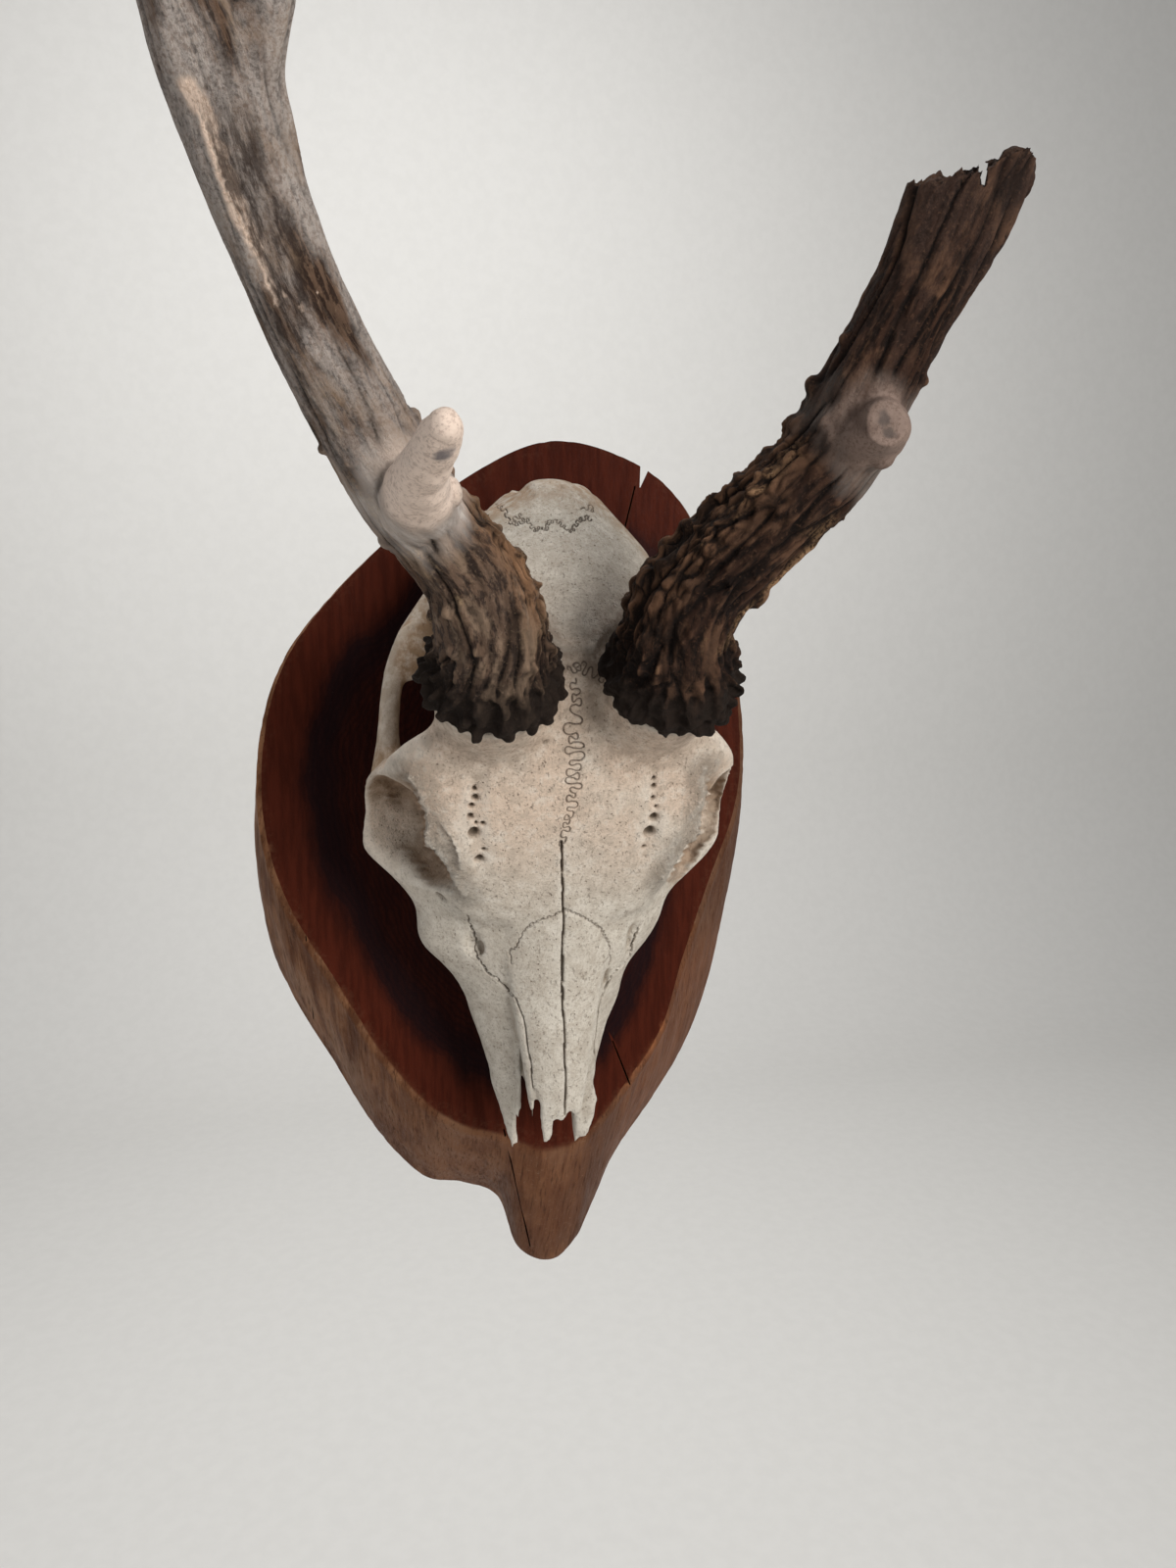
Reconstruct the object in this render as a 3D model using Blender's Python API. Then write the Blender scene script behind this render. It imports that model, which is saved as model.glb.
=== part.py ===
"""A deer skull with its antlers on an oblique slice of log, made to hang on a wall.

The frame is the wall's: +Z is up, +Y goes into the wall and the origin lies on the log's flat back.
Places on the skull are given as (across, up, height), where height counts from the log's face towards
the room. The nose points down, so a place further up the wall is further back on the skull.
"""

import math

import bmesh
import bpy
from mathutils import Vector

# Driving sizes, in metres
PLAQUE_WIDTH = 0.170
PLAQUE_HEIGHT = 0.253
PLAQUE_THICKNESS = 0.048
LOG_LEAN = 0.070
SPLIT_WIDTH = 0.0022
SPLIT_DEPTH = 0.007
SKULL_LENGTH = 0.225
ORBIT_RADIUS = 0.0201
ORBIT_DEPTH = 0.0170
RIM_THICKNESS = 0.0024
TOOTH_ROW_WIDTH = 0.0120
NASAL_THICKNESS = 0.0042
NOSE_DRIFT = 0.0018
PEDICLE_RADIUS = 0.0165
BURR_OVERHANG = 0.0032
BURR_HEIGHT = 0.009
BREAK_RISE = 0.0168
ANTLER_LENGTH = 0.236
JOINT_GAP = 0.0003

# How fine the solids are
VOXEL = 0.0021
KEPT_FACES = 0.092
LOG_SIDES = 84
BEAM_SIDES = 16
BEAM_RINGS = 22

# The tables below count in units: this many along the skull and along the left antler, and this many
# across and up the log's face, whose middle lies this many units over the origin
SKULL_UNITS = 225.0
ANTLER_UNITS = 236.0
FACE_WIDTH_UNITS = 170.0
FACE_HEIGHT_UNITS = 253.0
FACE_MIDDLE = -19.5

SKULL_UNIT = SKULL_LENGTH / SKULL_UNITS
ANTLER_UNIT = ANTLER_LENGTH / ANTLER_UNITS
OUT_OF_WALL = Vector((0.0, -1.0, 0.0))
UP = Vector((0.0, 0.0, 1.0))


def signed_power(value, power):
    return math.copysign(abs(value) ** power, value)


def on_log(across, up, height=0.0):
    """The place over the log's face, in metres from the frame's origin."""
    return Vector((across, -(PLAQUE_THICKNESS + height), up))


def on_skull(across, up, height):
    """A place on the skull, whose tables count in units, resting a joint's gap over the log."""
    return on_log(across * SKULL_UNIT, up * SKULL_UNIT, height * SKULL_UNIT + JOINT_GAP)


def curve_through(points, count, closed=False):
    """Points at even steps of a smooth curve through the given ones, which are tuples or vectors."""
    spots = [Vector(p) for p in points]
    last = len(spots)
    spans = last if closed else last - 1
    result = []
    for k in range(count):
        place = k * spans / (count if closed else count - 1)
        i = min(int(place), spans - 1)
        t = place - i
        if closed:
            a, b, c, d = (spots[(i + j) % last] for j in (-1, 0, 1, 2))
        else:
            a, b, c, d = (spots[min(max(i + j, 0), last - 1)] for j in (-1, 0, 1, 2))
        result.append(
            (2 * b + (c - a) * t + (2 * a - 5 * b + 4 * c - d) * t**2 + (3 * b - a - 3 * c + d) * t**3) / 2
        )
    return result


def new_object(name, bm, helper=False):
    """The shape as an object, with its faces turned outwards. A helper is drawn as wires and not kept."""
    bmesh.ops.recalc_face_normals(bm, faces=bm.faces)
    mesh = bpy.data.meshes.new(name)
    bm.to_mesh(mesh)
    bm.free()
    obj = bpy.data.objects.new(name, mesh)
    bpy.context.scene.collection.objects.link(obj)
    if helper:
        obj.hide_render = True
        obj.display_type = "WIRE"
    return obj


def material(name, colour, roughness, metallic=0.0):
    made = bpy.data.materials.new(name)
    made.use_nodes = True
    shader = made.node_tree.nodes["Principled BSDF"]
    shader.inputs["Base Color"].default_value = (*colour, 1.0)
    shader.inputs["Roughness"].default_value = roughness
    shader.inputs["Metallic"].default_value = metallic
    return made


def boolean(obj, other, operation):
    step = obj.modifiers.new(f"{operation.lower()} {other.name}", "BOOLEAN")
    step.operation = operation
    step.solver = "EXACT"
    step.object = other


# Building blocks, each added to a bmesh as one closed shell


def add_loft(bm, rings):
    """A skin through rings that have as many points each, capped flat at both ends."""
    loops = [[bm.verts.new(point) for point in ring] for ring in rings]
    for low, high in zip(loops, loops[1:]):
        for i in range(len(low)):
            j = (i + 1) % len(low)
            bm.faces.new((low[i], low[j], high[j], high[i]))
    bm.faces.new(loops[0][::-1])
    bm.faces.new(loops[-1])


def skull_section(station, sides=32):
    """One cross-section of the skull: half of its width, and its side, top and bottom heights.

    The two powers make its upper and lower halves rounder or boxier, 2 being an ellipse.
    """
    up, half, side, top, bottom, upper, lower = station
    ring = []
    for k in range(sides):
        turn = 2 * math.pi * k / sides
        power = 2 / (upper if math.cos(turn) >= 0 else lower)
        reach = top - side if math.cos(turn) >= 0 else side - bottom
        across = half * signed_power(math.sin(turn), power)
        ring.append(on_skull(across, up, side + reach * signed_power(math.cos(turn), power)))
    return ring


def add_ellipsoid(bm, centre, across, up, height):
    """An ellipsoid on the skull, its centre and its half sizes in the skull's units."""
    ball = bmesh.ops.create_uvsphere(bm, u_segments=20, v_segments=12, radius=SKULL_UNIT)["verts"]
    bmesh.ops.scale(bm, verts=ball, vec=(across, height, up))
    bmesh.ops.translate(bm, verts=ball, vec=on_skull(*centre))


def frames_along(path, up_hint):
    """At each point of the path, its direction and two directions across it, the second near the hint."""
    frames = []
    for i, point in enumerate(path):
        ahead = (path[min(i + 1, len(path) - 1)] - path[max(i - 1, 0)]).normalized()
        side = ahead.cross(up_hint).normalized()
        frames.append((point, ahead, side, side.cross(ahead)))
    return frames


def add_tube(bm, path, radii, up_hint, sides=12, round_ends=True):
    """A tube along the path. A radius is one number, or one across the hint and one along it."""
    rings = []
    frames = frames_along(path, up_hint)
    pairs = [r if isinstance(r, tuple) else (r, r) for r in radii]
    for (point, ahead, side, lift), (wide, tall) in zip(frames, pairs):
        rings.append(
            [
                point
                + side * wide * math.cos(2 * math.pi * k / sides)
                + lift * tall * math.sin(2 * math.pi * k / sides)
                for k in range(sides)
            ]
        )
    if round_ends:
        for end, frame, sign in ((0, frames[0], -1), (-1, frames[-1], 1)):
            centre, ahead = frame[0], frame[1] * sign
            base, reach = rings[end], min(pairs[end])
            extra = [
                [centre + (point - centre) * share + ahead * reach * push for point in base]
                for share, push in ((0.8, 0.5), (0.4, 0.85))
            ]
            rings = extra[::-1] + rings if end == 0 else rings + extra
    add_loft(bm, rings)


def add_turned(bm, centre, axis, profile, sides=28):
    """A shape turned about an axis. The profile lists (distance along the axis, radius)."""
    side = axis.cross(UP).normalized()
    lift = side.cross(axis).normalized()
    rings = []
    for along, radius in profile:
        rings.append(
            [
                centre
                + axis * along
                + side * radius * math.cos(2 * math.pi * k / sides)
                + lift * radius * math.sin(2 * math.pi * k / sides)
                for k in range(sides)
            ]
        )
    add_loft(bm, rings)


# The log slice

# Ribs of the log's side, clockwise from the top: where each starts on the face, and where it ends on
# the back before the log's lean is added. The lobe at the bottom is an old branch collar
LOG_RIBS = (
    ((6, 107), (6, 108)),
    ((30, 104), (32, 104)),
    ((51, 92), (56, 90)),
    ((64, 71), (71, 70)),
    ((73, 43), (84, 46)),
    ((78, 8), (91, 23)),
    ((77, -20), (89, -2)),
    ((66, -52), (82, -36)),
    ((57, -79), (72, -62)),
    ((50, -103), (57, -86)),
    ((38, -122), (42, -107)),
    ((24, -139), (33, -128)),
    ((15, -145), (26, -143)),
    ((4, -146), (15, -152)),
    ((-5, -143), (1, -144)),
    ((-14, -139), (-7, -121)),
    ((-26, -135), (-21, -113)),
    ((-39, -125), (-38, -108)),
    ((-55, -104), (-56, -86)),
    ((-70, -77), (-72, -56)),
    ((-84, -51), (-85, -31)),
    ((-91, -25), (-94, -6)),
    ((-91, 2), (-95, 20)),
    ((-85, 27), (-90, 38)),
    ((-73, 47), (-78, 54)),
    ((-48, 73), (-52, 76)),
    ((-20, 95), (-22, 97)),
)
# Shares of the way from the face to the back where the side has a ring, and how far it bulges there
SIDE_RINGS = ((0.0, 0.0), (0.04, 0.0035), (0.35, 0.006), (0.7, 0.005), (0.96, 0.002), (1.0, 0.0))


def log_rings():
    """Rings of the log's side from its face to its back, swelling a little in between."""
    wide = PLAQUE_WIDTH / FACE_WIDTH_UNITS
    tall = PLAQUE_HEIGHT / FACE_HEIGHT_UNITS
    face = curve_through([(x * wide, 0, z * tall) for (x, z), _ in LOG_RIBS], LOG_SIDES, closed=True)
    back = curve_through([(x * wide, 0, z * tall) for _, (x, z) in LOG_RIBS], LOG_SIDES, closed=True)
    middle = Vector((0.0, 0.0, FACE_MIDDLE * tall))
    rings = []
    for share, bulge in SIDE_RINGS:
        ring = []
        for near, far in zip(face, back):
            spot = near.lerp(far, share)
            out = (spot - middle) * bulge / PLAQUE_WIDTH
            lean = LOG_LEAN * share
            ring.append(spot + out + Vector((0, -PLAQUE_THICKNESS * (1 - share), -lean)))
        rings.append(ring)
    return rings


def make_plaque():
    bm = bmesh.new()
    add_loft(bm, log_rings())
    plaque = new_object("wooden_plaque", bm)

    # The drying split at the upper right, a wedge that follows the lean of the log
    bm = bmesh.new()
    wide = PLAQUE_WIDTH / FACE_WIDTH_UNITS
    tall = PLAQUE_HEIGHT / FACE_HEIGHT_UNITS
    mouth = on_log(41.3 * wide, 99.5 * tall)
    inward = Vector((-0.22, 0.0, -0.975))
    across = Vector((inward.z, 0.0, -inward.x))
    lean = Vector((0.0, PLAQUE_THICKNESS, -LOG_LEAN))
    rings = []
    for share in (-0.3, 1.2):
        spot = mouth + lean * share
        outer = spot - inward * SPLIT_DEPTH * 2
        spread = across * SPLIT_WIDTH * 1.5
        rings.append([outer - spread, outer + spread, spot + inward * SPLIT_DEPTH])
    add_loft(bm, rings)
    boolean(plaque, new_object("split cutter", bm, helper=True), "DIFFERENCE")
    plaque.data.materials.append(material("oiled red wood", (0.13, 0.035, 0.018), 0.5))
    return plaque


# The skull

# Sections from back to front: place up the wall, half width, heights of side, top and bottom, powers
BRAINCASE = (
    (89.5, 5, 40, 46.5, 31, 2.0, 2.0),
    (87, 12, 38, 51, 20, 2.1, 2.0),
    (82, 18.5, 36, 55, 15, 2.3, 2.2),
    (75, 25, 36, 60, 12, 2.2, 2.2),
    (68, 31.5, 38, 65.5, 12, 2.1, 2.2),
    (58, 34.5, 42, 73.5, 13, 2.1, 2.2),
    (45, 33.5, 47, 82, 15, 2.1, 2.2),
    (30, 29.5, 52, 86, 18, 2.2, 2.2),
    (15, 25, 54, 82, 20, 2.2, 2.2),
    (-5, 21, 50, 74, 20, 2.2, 2.2),
)
FRONTAL = (
    (40, 28, 76, 85.5, 62, 2.6, 2.0),
    (28, 35, 74, 86, 60, 2.8, 2.0),
    (17, 38.5, 74, 83.5, 60, 3.0, 2.0),
    (7, 44, 71, 80.5, 58, 3.2, 2.0),
    (-6, 44.5, 69, 77, 54, 3.2, 2.0),
    (-18, 42, 65, 72.5, 48, 3.0, 2.0),
    (-31, 36.5, 57, 67, 40, 2.6, 2.0),
    (-45, 31, 48, 61, 30, 2.2, 2.0),
)
FACE = (
    (-20, 46, 38, 70, 14, 1.9, 2.0),
    (-35, 46, 37, 64.5, 12, 1.6, 2.2),
    (-45, 42, 35, 61, 11, 1.5, 2.4),
    (-58, 36.5, 34, 57.5, 10, 1.5, 2.6),
    (-74, 28.5, 31, 52, 10, 1.4, 2.6),
    (-92, 23, 27, 46, 11, 1.3, 2.4),
    (-110, 19.2, 23.5, 39.5, 13, 1.3, 2.2),
    (-124, 16.3, 22, 30.5, 15, 1.5, 2.0),
    (-133, 14.8, 21, 25.5, 17, 1.8, 2.0),
    (-138, 13.5, 21, 23, 19, 2.0, 2.0),
)
# The paired nasal bones: place up the wall, half width, height of the ridge, how far the edge drops
NASAL_BONES = (
    (-36, 12, 64, 3),
    (-44, 15.8, 62, 4.5),
    (-60, 16, 57.6, 5),
    (-78, 13.7, 53.6, 5),
    (-95, 11.3, 49.8, 4.4),
    (-108, 9.8, 46.6, 3.8),
    (-118, 7.8, 44.2, 3.0),
)
# The place from which the nose drifts to one side
NOSE_BEND = -60
# The ring of an eye socket: its centre, and the way it faces
ORBIT_CENTRE = (45, -16.5, 56)
ORBIT_FACING = (0.76, -0.45, 0.46)
PEDICLE_FOOT = (21, 19, 68)
PEDICLE_TOP = (24.5, 29, 90)
BURR_FACING = (0.04, 0.63, 0.775)
TEETH = 6
TOOTH_FIRST = (21.5, -82)
TOOTH_LAST = (27.0, -12)


def facing(side, direction):
    """A direction given as (across, up, height), mirrored for the other side of the skull."""
    across, up, height = direction
    return Vector((side * across, -height, up)).normalized()


def add_path(bm, side, places, radii, sides=12):
    """A tube through places of the skull, with its flat radii across and along the height."""
    path = curve_through([on_skull(side * x, z, h) for x, z, h in places], 2 * len(places) - 1)
    sizes = curve_through([(a * SKULL_UNIT, b * SKULL_UNIT, 0) for a, b in radii], len(path))
    add_tube(bm, path, [(size.x, size.y) for size in sizes], OUT_OF_WALL, sides)


def add_side_bones(bm, side):
    """What lies off the midline: eye socket, cheek arch, antler foot, teeth and the bones below."""
    centre = on_skull(side * ORBIT_CENTRE[0], *ORBIT_CENTRE[1:])
    out = facing(side, ORBIT_FACING)
    wall = ORBIT_RADIUS + RIM_THICKNESS
    cup = [
        (wall * math.sin(a) - 0.3 * wall, wall * math.cos(a))
        for a in (math.radians(d) for d in (-88, -70, -50, -30, -10, 10, 30, 50, 70))
    ]
    add_turned(bm, centre, out, cup)
    # Brow corner behind the eye
    add_path(bm, side, ((34, 12, 77), (43, 8, 73), (50, 4.5, 65)), ((8, 5), (6.5, 4.5), (4, 4)))
    # Cheek arch, from under the eye to the side of the braincase
    add_path(
        bm,
        side,
        ((38, -42, 36), (51, -24, 36), (54, -7, 39), (50.5, 9, 40), (49, 26, 37), (43, 41, 36), (32, 56, 38)),
        ((5, 6), (4, 6), (3.6, 5.5), (3.7, 5), (3.6, 4.6), (4.6, 4.6), (5, 6)),
    )
    # Foot that carries the antler
    foot = on_skull(side * PEDICLE_FOOT[0], *PEDICLE_FOOT[1:])
    top = on_skull(side * PEDICLE_TOP[0], *PEDICLE_TOP[1:])
    out = facing(side, BURR_FACING)
    add_tube(bm, [foot, top, top + out * PEDICLE_RADIUS], [PEDICLE_RADIUS] * 3, UP, 20)
    # Cheek teeth
    for k in range(TEETH):
        share = k / (TEETH - 1)
        across = side * (TOOTH_FIRST[0] + (TOOTH_LAST[0] - TOOTH_FIRST[0]) * share)
        up = TOOTH_FIRST[1] + (TOOTH_LAST[1] - TOOTH_FIRST[1]) * share
        half = TOOTH_ROW_WIDTH / 2 * (0.75 + 0.25 * share)
        for lobe in (-3.2, 3.2):
            column = [on_skull(across, up + lobe, h) for h in (-3, 6, 20)]
            add_tube(bm, column, [half] * 3, UP, 12, round_ends=False)
    # Ear capsule, the spur beside it that reaches the log, and the neck joint
    add_ellipsoid(bm, (side * 17, 55, 15), 8, 12, 9)
    add_path(bm, side, ((26, 68, 26), (24, 72, 12), (22.5, 74, -3)), ((6, 6), (4.2, 5), (3.4, 4)))
    add_ellipsoid(bm, (side * 11, 83, 24), 8, 8, 10)
    # Wing of bone behind the palate
    add_path(bm, side, ((9, 30, 24), (9, 12, 14), (11, -2, 14)), ((2.5, 7), (2.5, 7), (3, 6)))


def add_bones(bm):
    for stations in (BRAINCASE, FRONTAL, FACE):
        add_loft(bm, [skull_section(station) for station in stations])
    for side in (-1, 1):
        add_side_bones(bm, side)


def add_hollows(bm):
    """Cutters for the eye sockets, the nose, the pits before the eyes and the hole for the spine."""
    rim = ORBIT_RADIUS
    for side in (-1, 1):
        centre = on_skull(side * ORBIT_CENTRE[0], *ORBIT_CENTRE[1:])
        bowl = [(-ORBIT_DEPTH * math.cos(a), rim * math.sin(a)) for a in (0.05, 0.4, 0.75, 1.1, 1.4)]
        flare = [(0.0, rim), (0.002, rim * 1.12), (0.006, rim * 1.5), (0.020, rim * 1.6)]
        add_turned(bm, centre, facing(side, ORBIT_FACING), bowl + flare)
        add_ellipsoid(bm, (side * 26, -57, 51), 3, 8, 6)
    stations = [
        (-72, 7, 40, 50, 28, 2.0, 2.0),
        (-80, 9.5, 38, 62, 20, 3.0, 3.0),
        (-98, 9.5, 38, 62, 17, 3.5, 3.5),
        (-118, 8.5, 38, 62, 17, 3.5, 3.5),
        (-150, 12, 38, 62, 17, 3.5, 3.5),
    ]
    add_loft(bm, [skull_section(station) for station in stations])
    add_ellipsoid(bm, (0, 92, 27), 8.5, 16, 8)


def add_nasal_bones(bm):
    """A thin arched plate over the nose, thinner towards its side edges."""
    rings = []
    for up, half, ridge, drop in NASAL_BONES:
        shares = [k / 6 for k in range(-6, 7)]
        middle = NOSE_DRIFT / SKULL_UNIT * max(0.0, (NOSE_BEND - up) / (NOSE_BEND - NASAL_BONES[-1][0]))
        arch = [on_skull(middle + half * t, up, ridge - drop * abs(t) ** 2.4) for t in shares]
        under = [point - OUT_OF_WALL * NASAL_THICKNESS for point in arch[::-1]]
        rings.append(arch + under)
    add_loft(bm, rings)


def add_last_cuts(bm):
    """Cutters for the notches and clefts of the nose's end, and for the faces that meet other pieces."""
    for side in (-1, 1):
        # Cleft between the palate's blade and its outer prong
        cleft = [(-111, 0.6), (-118, 3.6), (-132, 4.4), (-146, 5.2)]
        add_loft(
            bm,
            [
                [on_skull(side * 7 + half * x, up, h) for x, h in ((-1, 5), (1, 5), (1, 28), (-1, 28))]
                for up, half in cleft
            ],
        )
        # Notch between the two points of a nasal bone
        notch = [(-110.5, 0.15), (-121, 2.2)]
        add_loft(
            bm,
            [
                [on_skull(side * 5.6 + half * x, up, h) for x, h in ((-1, 36), (1, 36), (1, 56), (-1, 56))]
                for up, half in notch
            ],
        )
        # Flat seat of the antler
        top = on_skull(side * PEDICLE_TOP[0], *PEDICLE_TOP[1:])
        out = facing(side, BURR_FACING)
        add_turned(bm, top, out, [(0.0, PEDICLE_RADIUS * 1.35), (PEDICLE_RADIUS * 2, PEDICLE_RADIUS * 1.35)])
    # Flat feet of the teeth and spurs
    corners = ((-70, -160), (70, -160), (70, 110), (-70, 110))
    add_loft(bm, [[on_skull(x, z, h) for x, z in corners] for h in (-20, 0)])


def make_skull():
    bm = bmesh.new()
    add_bones(bm)
    skull = new_object("deer_skull", bm)
    fuse = skull.modifiers.new("fuse the bones", "REMESH")
    fuse.mode = "VOXEL"
    fuse.voxel_size = VOXEL
    ease = skull.modifiers.new("ease the joints", "SMOOTH")
    ease.factor = 0.5
    ease.iterations = 3
    thin = skull.modifiers.new("fewer faces", "DECIMATE")
    thin.ratio = KEPT_FACES

    bm = bmesh.new()
    add_hollows(bm)
    boolean(skull, new_object("hollows cutter", bm, helper=True), "DIFFERENCE")
    bm = bmesh.new()
    add_nasal_bones(bm)
    boolean(skull, new_object("nasal bones", bm, helper=True), "UNION")
    bm = bmesh.new()
    add_last_cuts(bm)
    boolean(skull, new_object("last cuts", bm, helper=True), "DIFFERENCE")
    skull.data.materials.append(material("bleached bone", (0.74, 0.69, 0.61), 0.7))
    return skull


# The antlers

# Each beam's middle line from its base, and its radii across and along the height, in antler units
LEFT_BEAM = (
    ((0, 0, 0), (15.5, 15.5)),
    ((-1.5, 15.5, 17), (15, 15)),
    ((-7.6, 28.4, 27), (12.6, 13.2)),
    ((-16.7, 38, 35), (11.6, 12.4)),
    ((-25.4, 47.1, 41), (11.3, 11.6)),
    ((-40.4, 70.5, 56), (10, 10.2)),
    ((-47.8, 86.5, 63), (9.5, 9.4)),
    ((-52.7, 99.5, 69), (10, 9)),
    ((-56.8, 113, 76), (10.9, 8.6)),
    ((-62, 126, 84), (8.8, 7.8)),
    ((-68, 143, 93), (7.4, 7)),
    ((-72, 162, 104), (6, 6)),
    ((-72.5, 180, 118), (4.4, 4.4)),
    ((-69, 194, 133), (2.2, 2.2)),
)
LEFT_INNER_BRANCH = (
    ((-53, 108, 73), (5.5, 5.5)),
    ((-50, 121, 82), (6, 6)),
    ((-43, 137, 92), (5.4, 5.4)),
    ((-34, 153, 100), (4.2, 4.2)),
    ((-26, 167, 105), (2, 2)),
)
LEFT_BROW_TINE = (
    ((-21, 41, 40), (10, 10)),
    ((-22, 43, 54), (8.4, 8.4)),
    ((-22.5, 45, 70), (5.8, 5.8)),
    ((-21, 48.5, 84), (4.8, 4.8)),
    ((-19.5, 51, 95), (3.4, 3.4)),
)
RIGHT_BEAM = (
    ((0, 0, 0), (15.5, 15.5)),
    ((-2, 15.5, 16), (15.2, 15)),
    ((1.3, 25, 22), (14, 14)),
    ((9.5, 35, 28), (13.4, 13.4)),
    ((21.5, 47.5, 36), (13, 12.6)),
    ((29, 57, 40), (12.6, 12)),
    ((38, 80, 50), (11.2, 10.5)),
    ((43.5, 92, 54), (11.2, 10)),
    ((46.8, 101, 56.8), (12.8, 9.4)),
    ((49.5, 108.5, 59), (13.4, 8.8)),
)
RIGHT_BROW_STUB = (
    ((36, 60, 40), (9, 9)),
    ((34.5, 60, 53), (7.6, 7.6)),
    ((31.5, 60, 63), (5.6, 5.6)),
)
BURR_LOBES = 9
BEAM_RIDGES = 6
# Depths of the burr's lobes and the beam's ridges, as shares of the radius
LOBE_DEPTH = 0.05
RIDGE_DEPTH = 0.035
# The burr's outline on its seat: shares of its height, and of its radius there
BURR_PROFILE = ((0.0, 0.86), (0.18, 0.97), (0.5, 1.0), (0.8, 0.95), (1.0, 0.84))
# The shaft's rings start this many burr heights from the seat
SHAFT_START = 1.45


def antler_path(side, rows, count):
    """The middle line and the radii of a beam or tine, counted from the middle of the antler's seat."""
    base = on_skull(side * PEDICLE_TOP[0], *PEDICLE_TOP[1:]) + facing(side, BURR_FACING) * JOINT_GAP
    places = [base + Vector((x, -h, z)) * ANTLER_UNIT for (x, z, h), _ in rows]
    radii = [(a * ANTLER_UNIT, b * ANTLER_UNIT, 0) for _, (a, b) in rows]
    return curve_through(places, count), curve_through(radii, count)


def add_beam(bm, side, rows, broken):
    """The main beam: a burr of knobs at its flat base, then a ridged shaft to its tip or its break."""
    path, radii = antler_path(side, rows, BEAM_RINGS)
    seat = facing(side, BURR_FACING)
    start = path[0]
    # The burr's own rings stand on the seat, and the shaft's follow the middle line
    frames = []
    for share, swell in BURR_PROFILE:
        spot = start + seat * share * BURR_HEIGHT
        frames.append((spot, seat, ((PEDICLE_RADIUS + BURR_OVERHANG) * swell,) * 2, 1.0))
    for point, ahead, _, _ in frames_along(path, OUT_OF_WALL):
        if (point - start).length > SHAFT_START * BURR_HEIGHT:
            size = radii[path.index(point)]
            frames.append((point, ahead, (size.x, size.y), 0.0))
    rings = []
    for spot, ahead, (wide, tall), burred in frames:
        across = ahead.cross(OUT_OF_WALL).normalized()
        lift = across.cross(ahead)
        ring = []
        for k in range(BEAM_SIDES):
            turn = 2 * math.pi * k / BEAM_SIDES
            knob = LOBE_DEPTH * math.sin(BURR_LOBES * turn + side) * burred
            ridge = RIDGE_DEPTH * math.sin(BEAM_RIDGES * turn) * (1 - burred)
            size = 1 + knob + ridge
            ring.append(spot + across * wide * size * math.cos(turn) + lift * tall * size * math.sin(turn))
        rings.append(ring)
    if broken:
        add_break(rings, frames[-1][1])
    else:
        middle = sum(rings[-1], Vector()) / BEAM_SIDES
        tip = middle + frames[-1][1] * 2.5 * ANTLER_UNIT
        rings.append([point.lerp(tip, 0.7) for point in rings[-1]])
    add_loft(bm, rings)


def add_break(rings, ahead):
    """A torn end, which rises across the beam from its low side to a knob on its high side."""
    last = rings[-1]
    middle = sum(last, Vector()) / len(last)
    torn = []
    for k, point in enumerate(last):
        turn = 2 * math.pi * k / len(last)
        slope = math.cos(turn)
        knob = 0.16 * math.sin(math.pi * max(slope, 0.0)) - 0.28 * max(slope, 0.0) ** 8
        height = BREAK_RISE * (0.5 + 0.5 * slope + knob + 0.05 * math.sin(7 * turn))
        torn.append(point.lerp(middle, 0.1) + ahead * height)
    rings.append(torn)
    dished = middle + ahead * BREAK_RISE * 0.15
    rings.append([point.lerp(dished, 0.5) for point in torn])


def make_antler(name, side, beam, tines, broken):
    bm = bmesh.new()
    add_beam(bm, side, beam, broken)
    antler = new_object(name, bm)
    for number, tine in enumerate(tines):
        bm = bmesh.new()
        path, radii = antler_path(side, tine, 2 * len(tine))
        hint = UP if tine is not LEFT_INNER_BRANCH else OUT_OF_WALL
        add_tube(bm, path, [(size.x, size.y) for size in radii], hint, 10)
        boolean(antler, new_object(f"{name} tine {number}", bm, helper=True), "UNION")
    antler.data.materials.append(material(f"{name} horn", (0.20, 0.14, 0.10), 0.65))
    return antler


for old in list(bpy.data.objects):
    bpy.data.objects.remove(old)
make_plaque()
make_skull()
make_antler("left_antler", -1, LEFT_BEAM, (LEFT_BROW_TINE, LEFT_INNER_BRANCH), broken=False)
make_antler("right_antler", 1, RIGHT_BEAM, (RIGHT_BROW_STUB,), broken=True)
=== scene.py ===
# %% [markdown]
# # A deer skull on an oblique slice of log
#
# The real thing is a trophy as a hunter's family keeps it: a bleached deer skull with both antlers, one
# of them broken short, on a slice of log that was sawn at a slant and oiled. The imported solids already
# give every piece its true size and place. Here each solid is copied, its skin is made fine enough to
# carve, and then the small forms go in: sutures and pits in the bone, pearls and furrows in the antler,
# grain and drying cracks in the wood. Everything is in metres, in the frame of the wall: +Z goes up and
# -Y comes out into the room.

# %% Load the solids and measure them
import math
import random

import bpy
import numpy as np
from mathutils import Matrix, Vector, kdtree, noise
from mathutils.bvhtree import BVHTree


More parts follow.
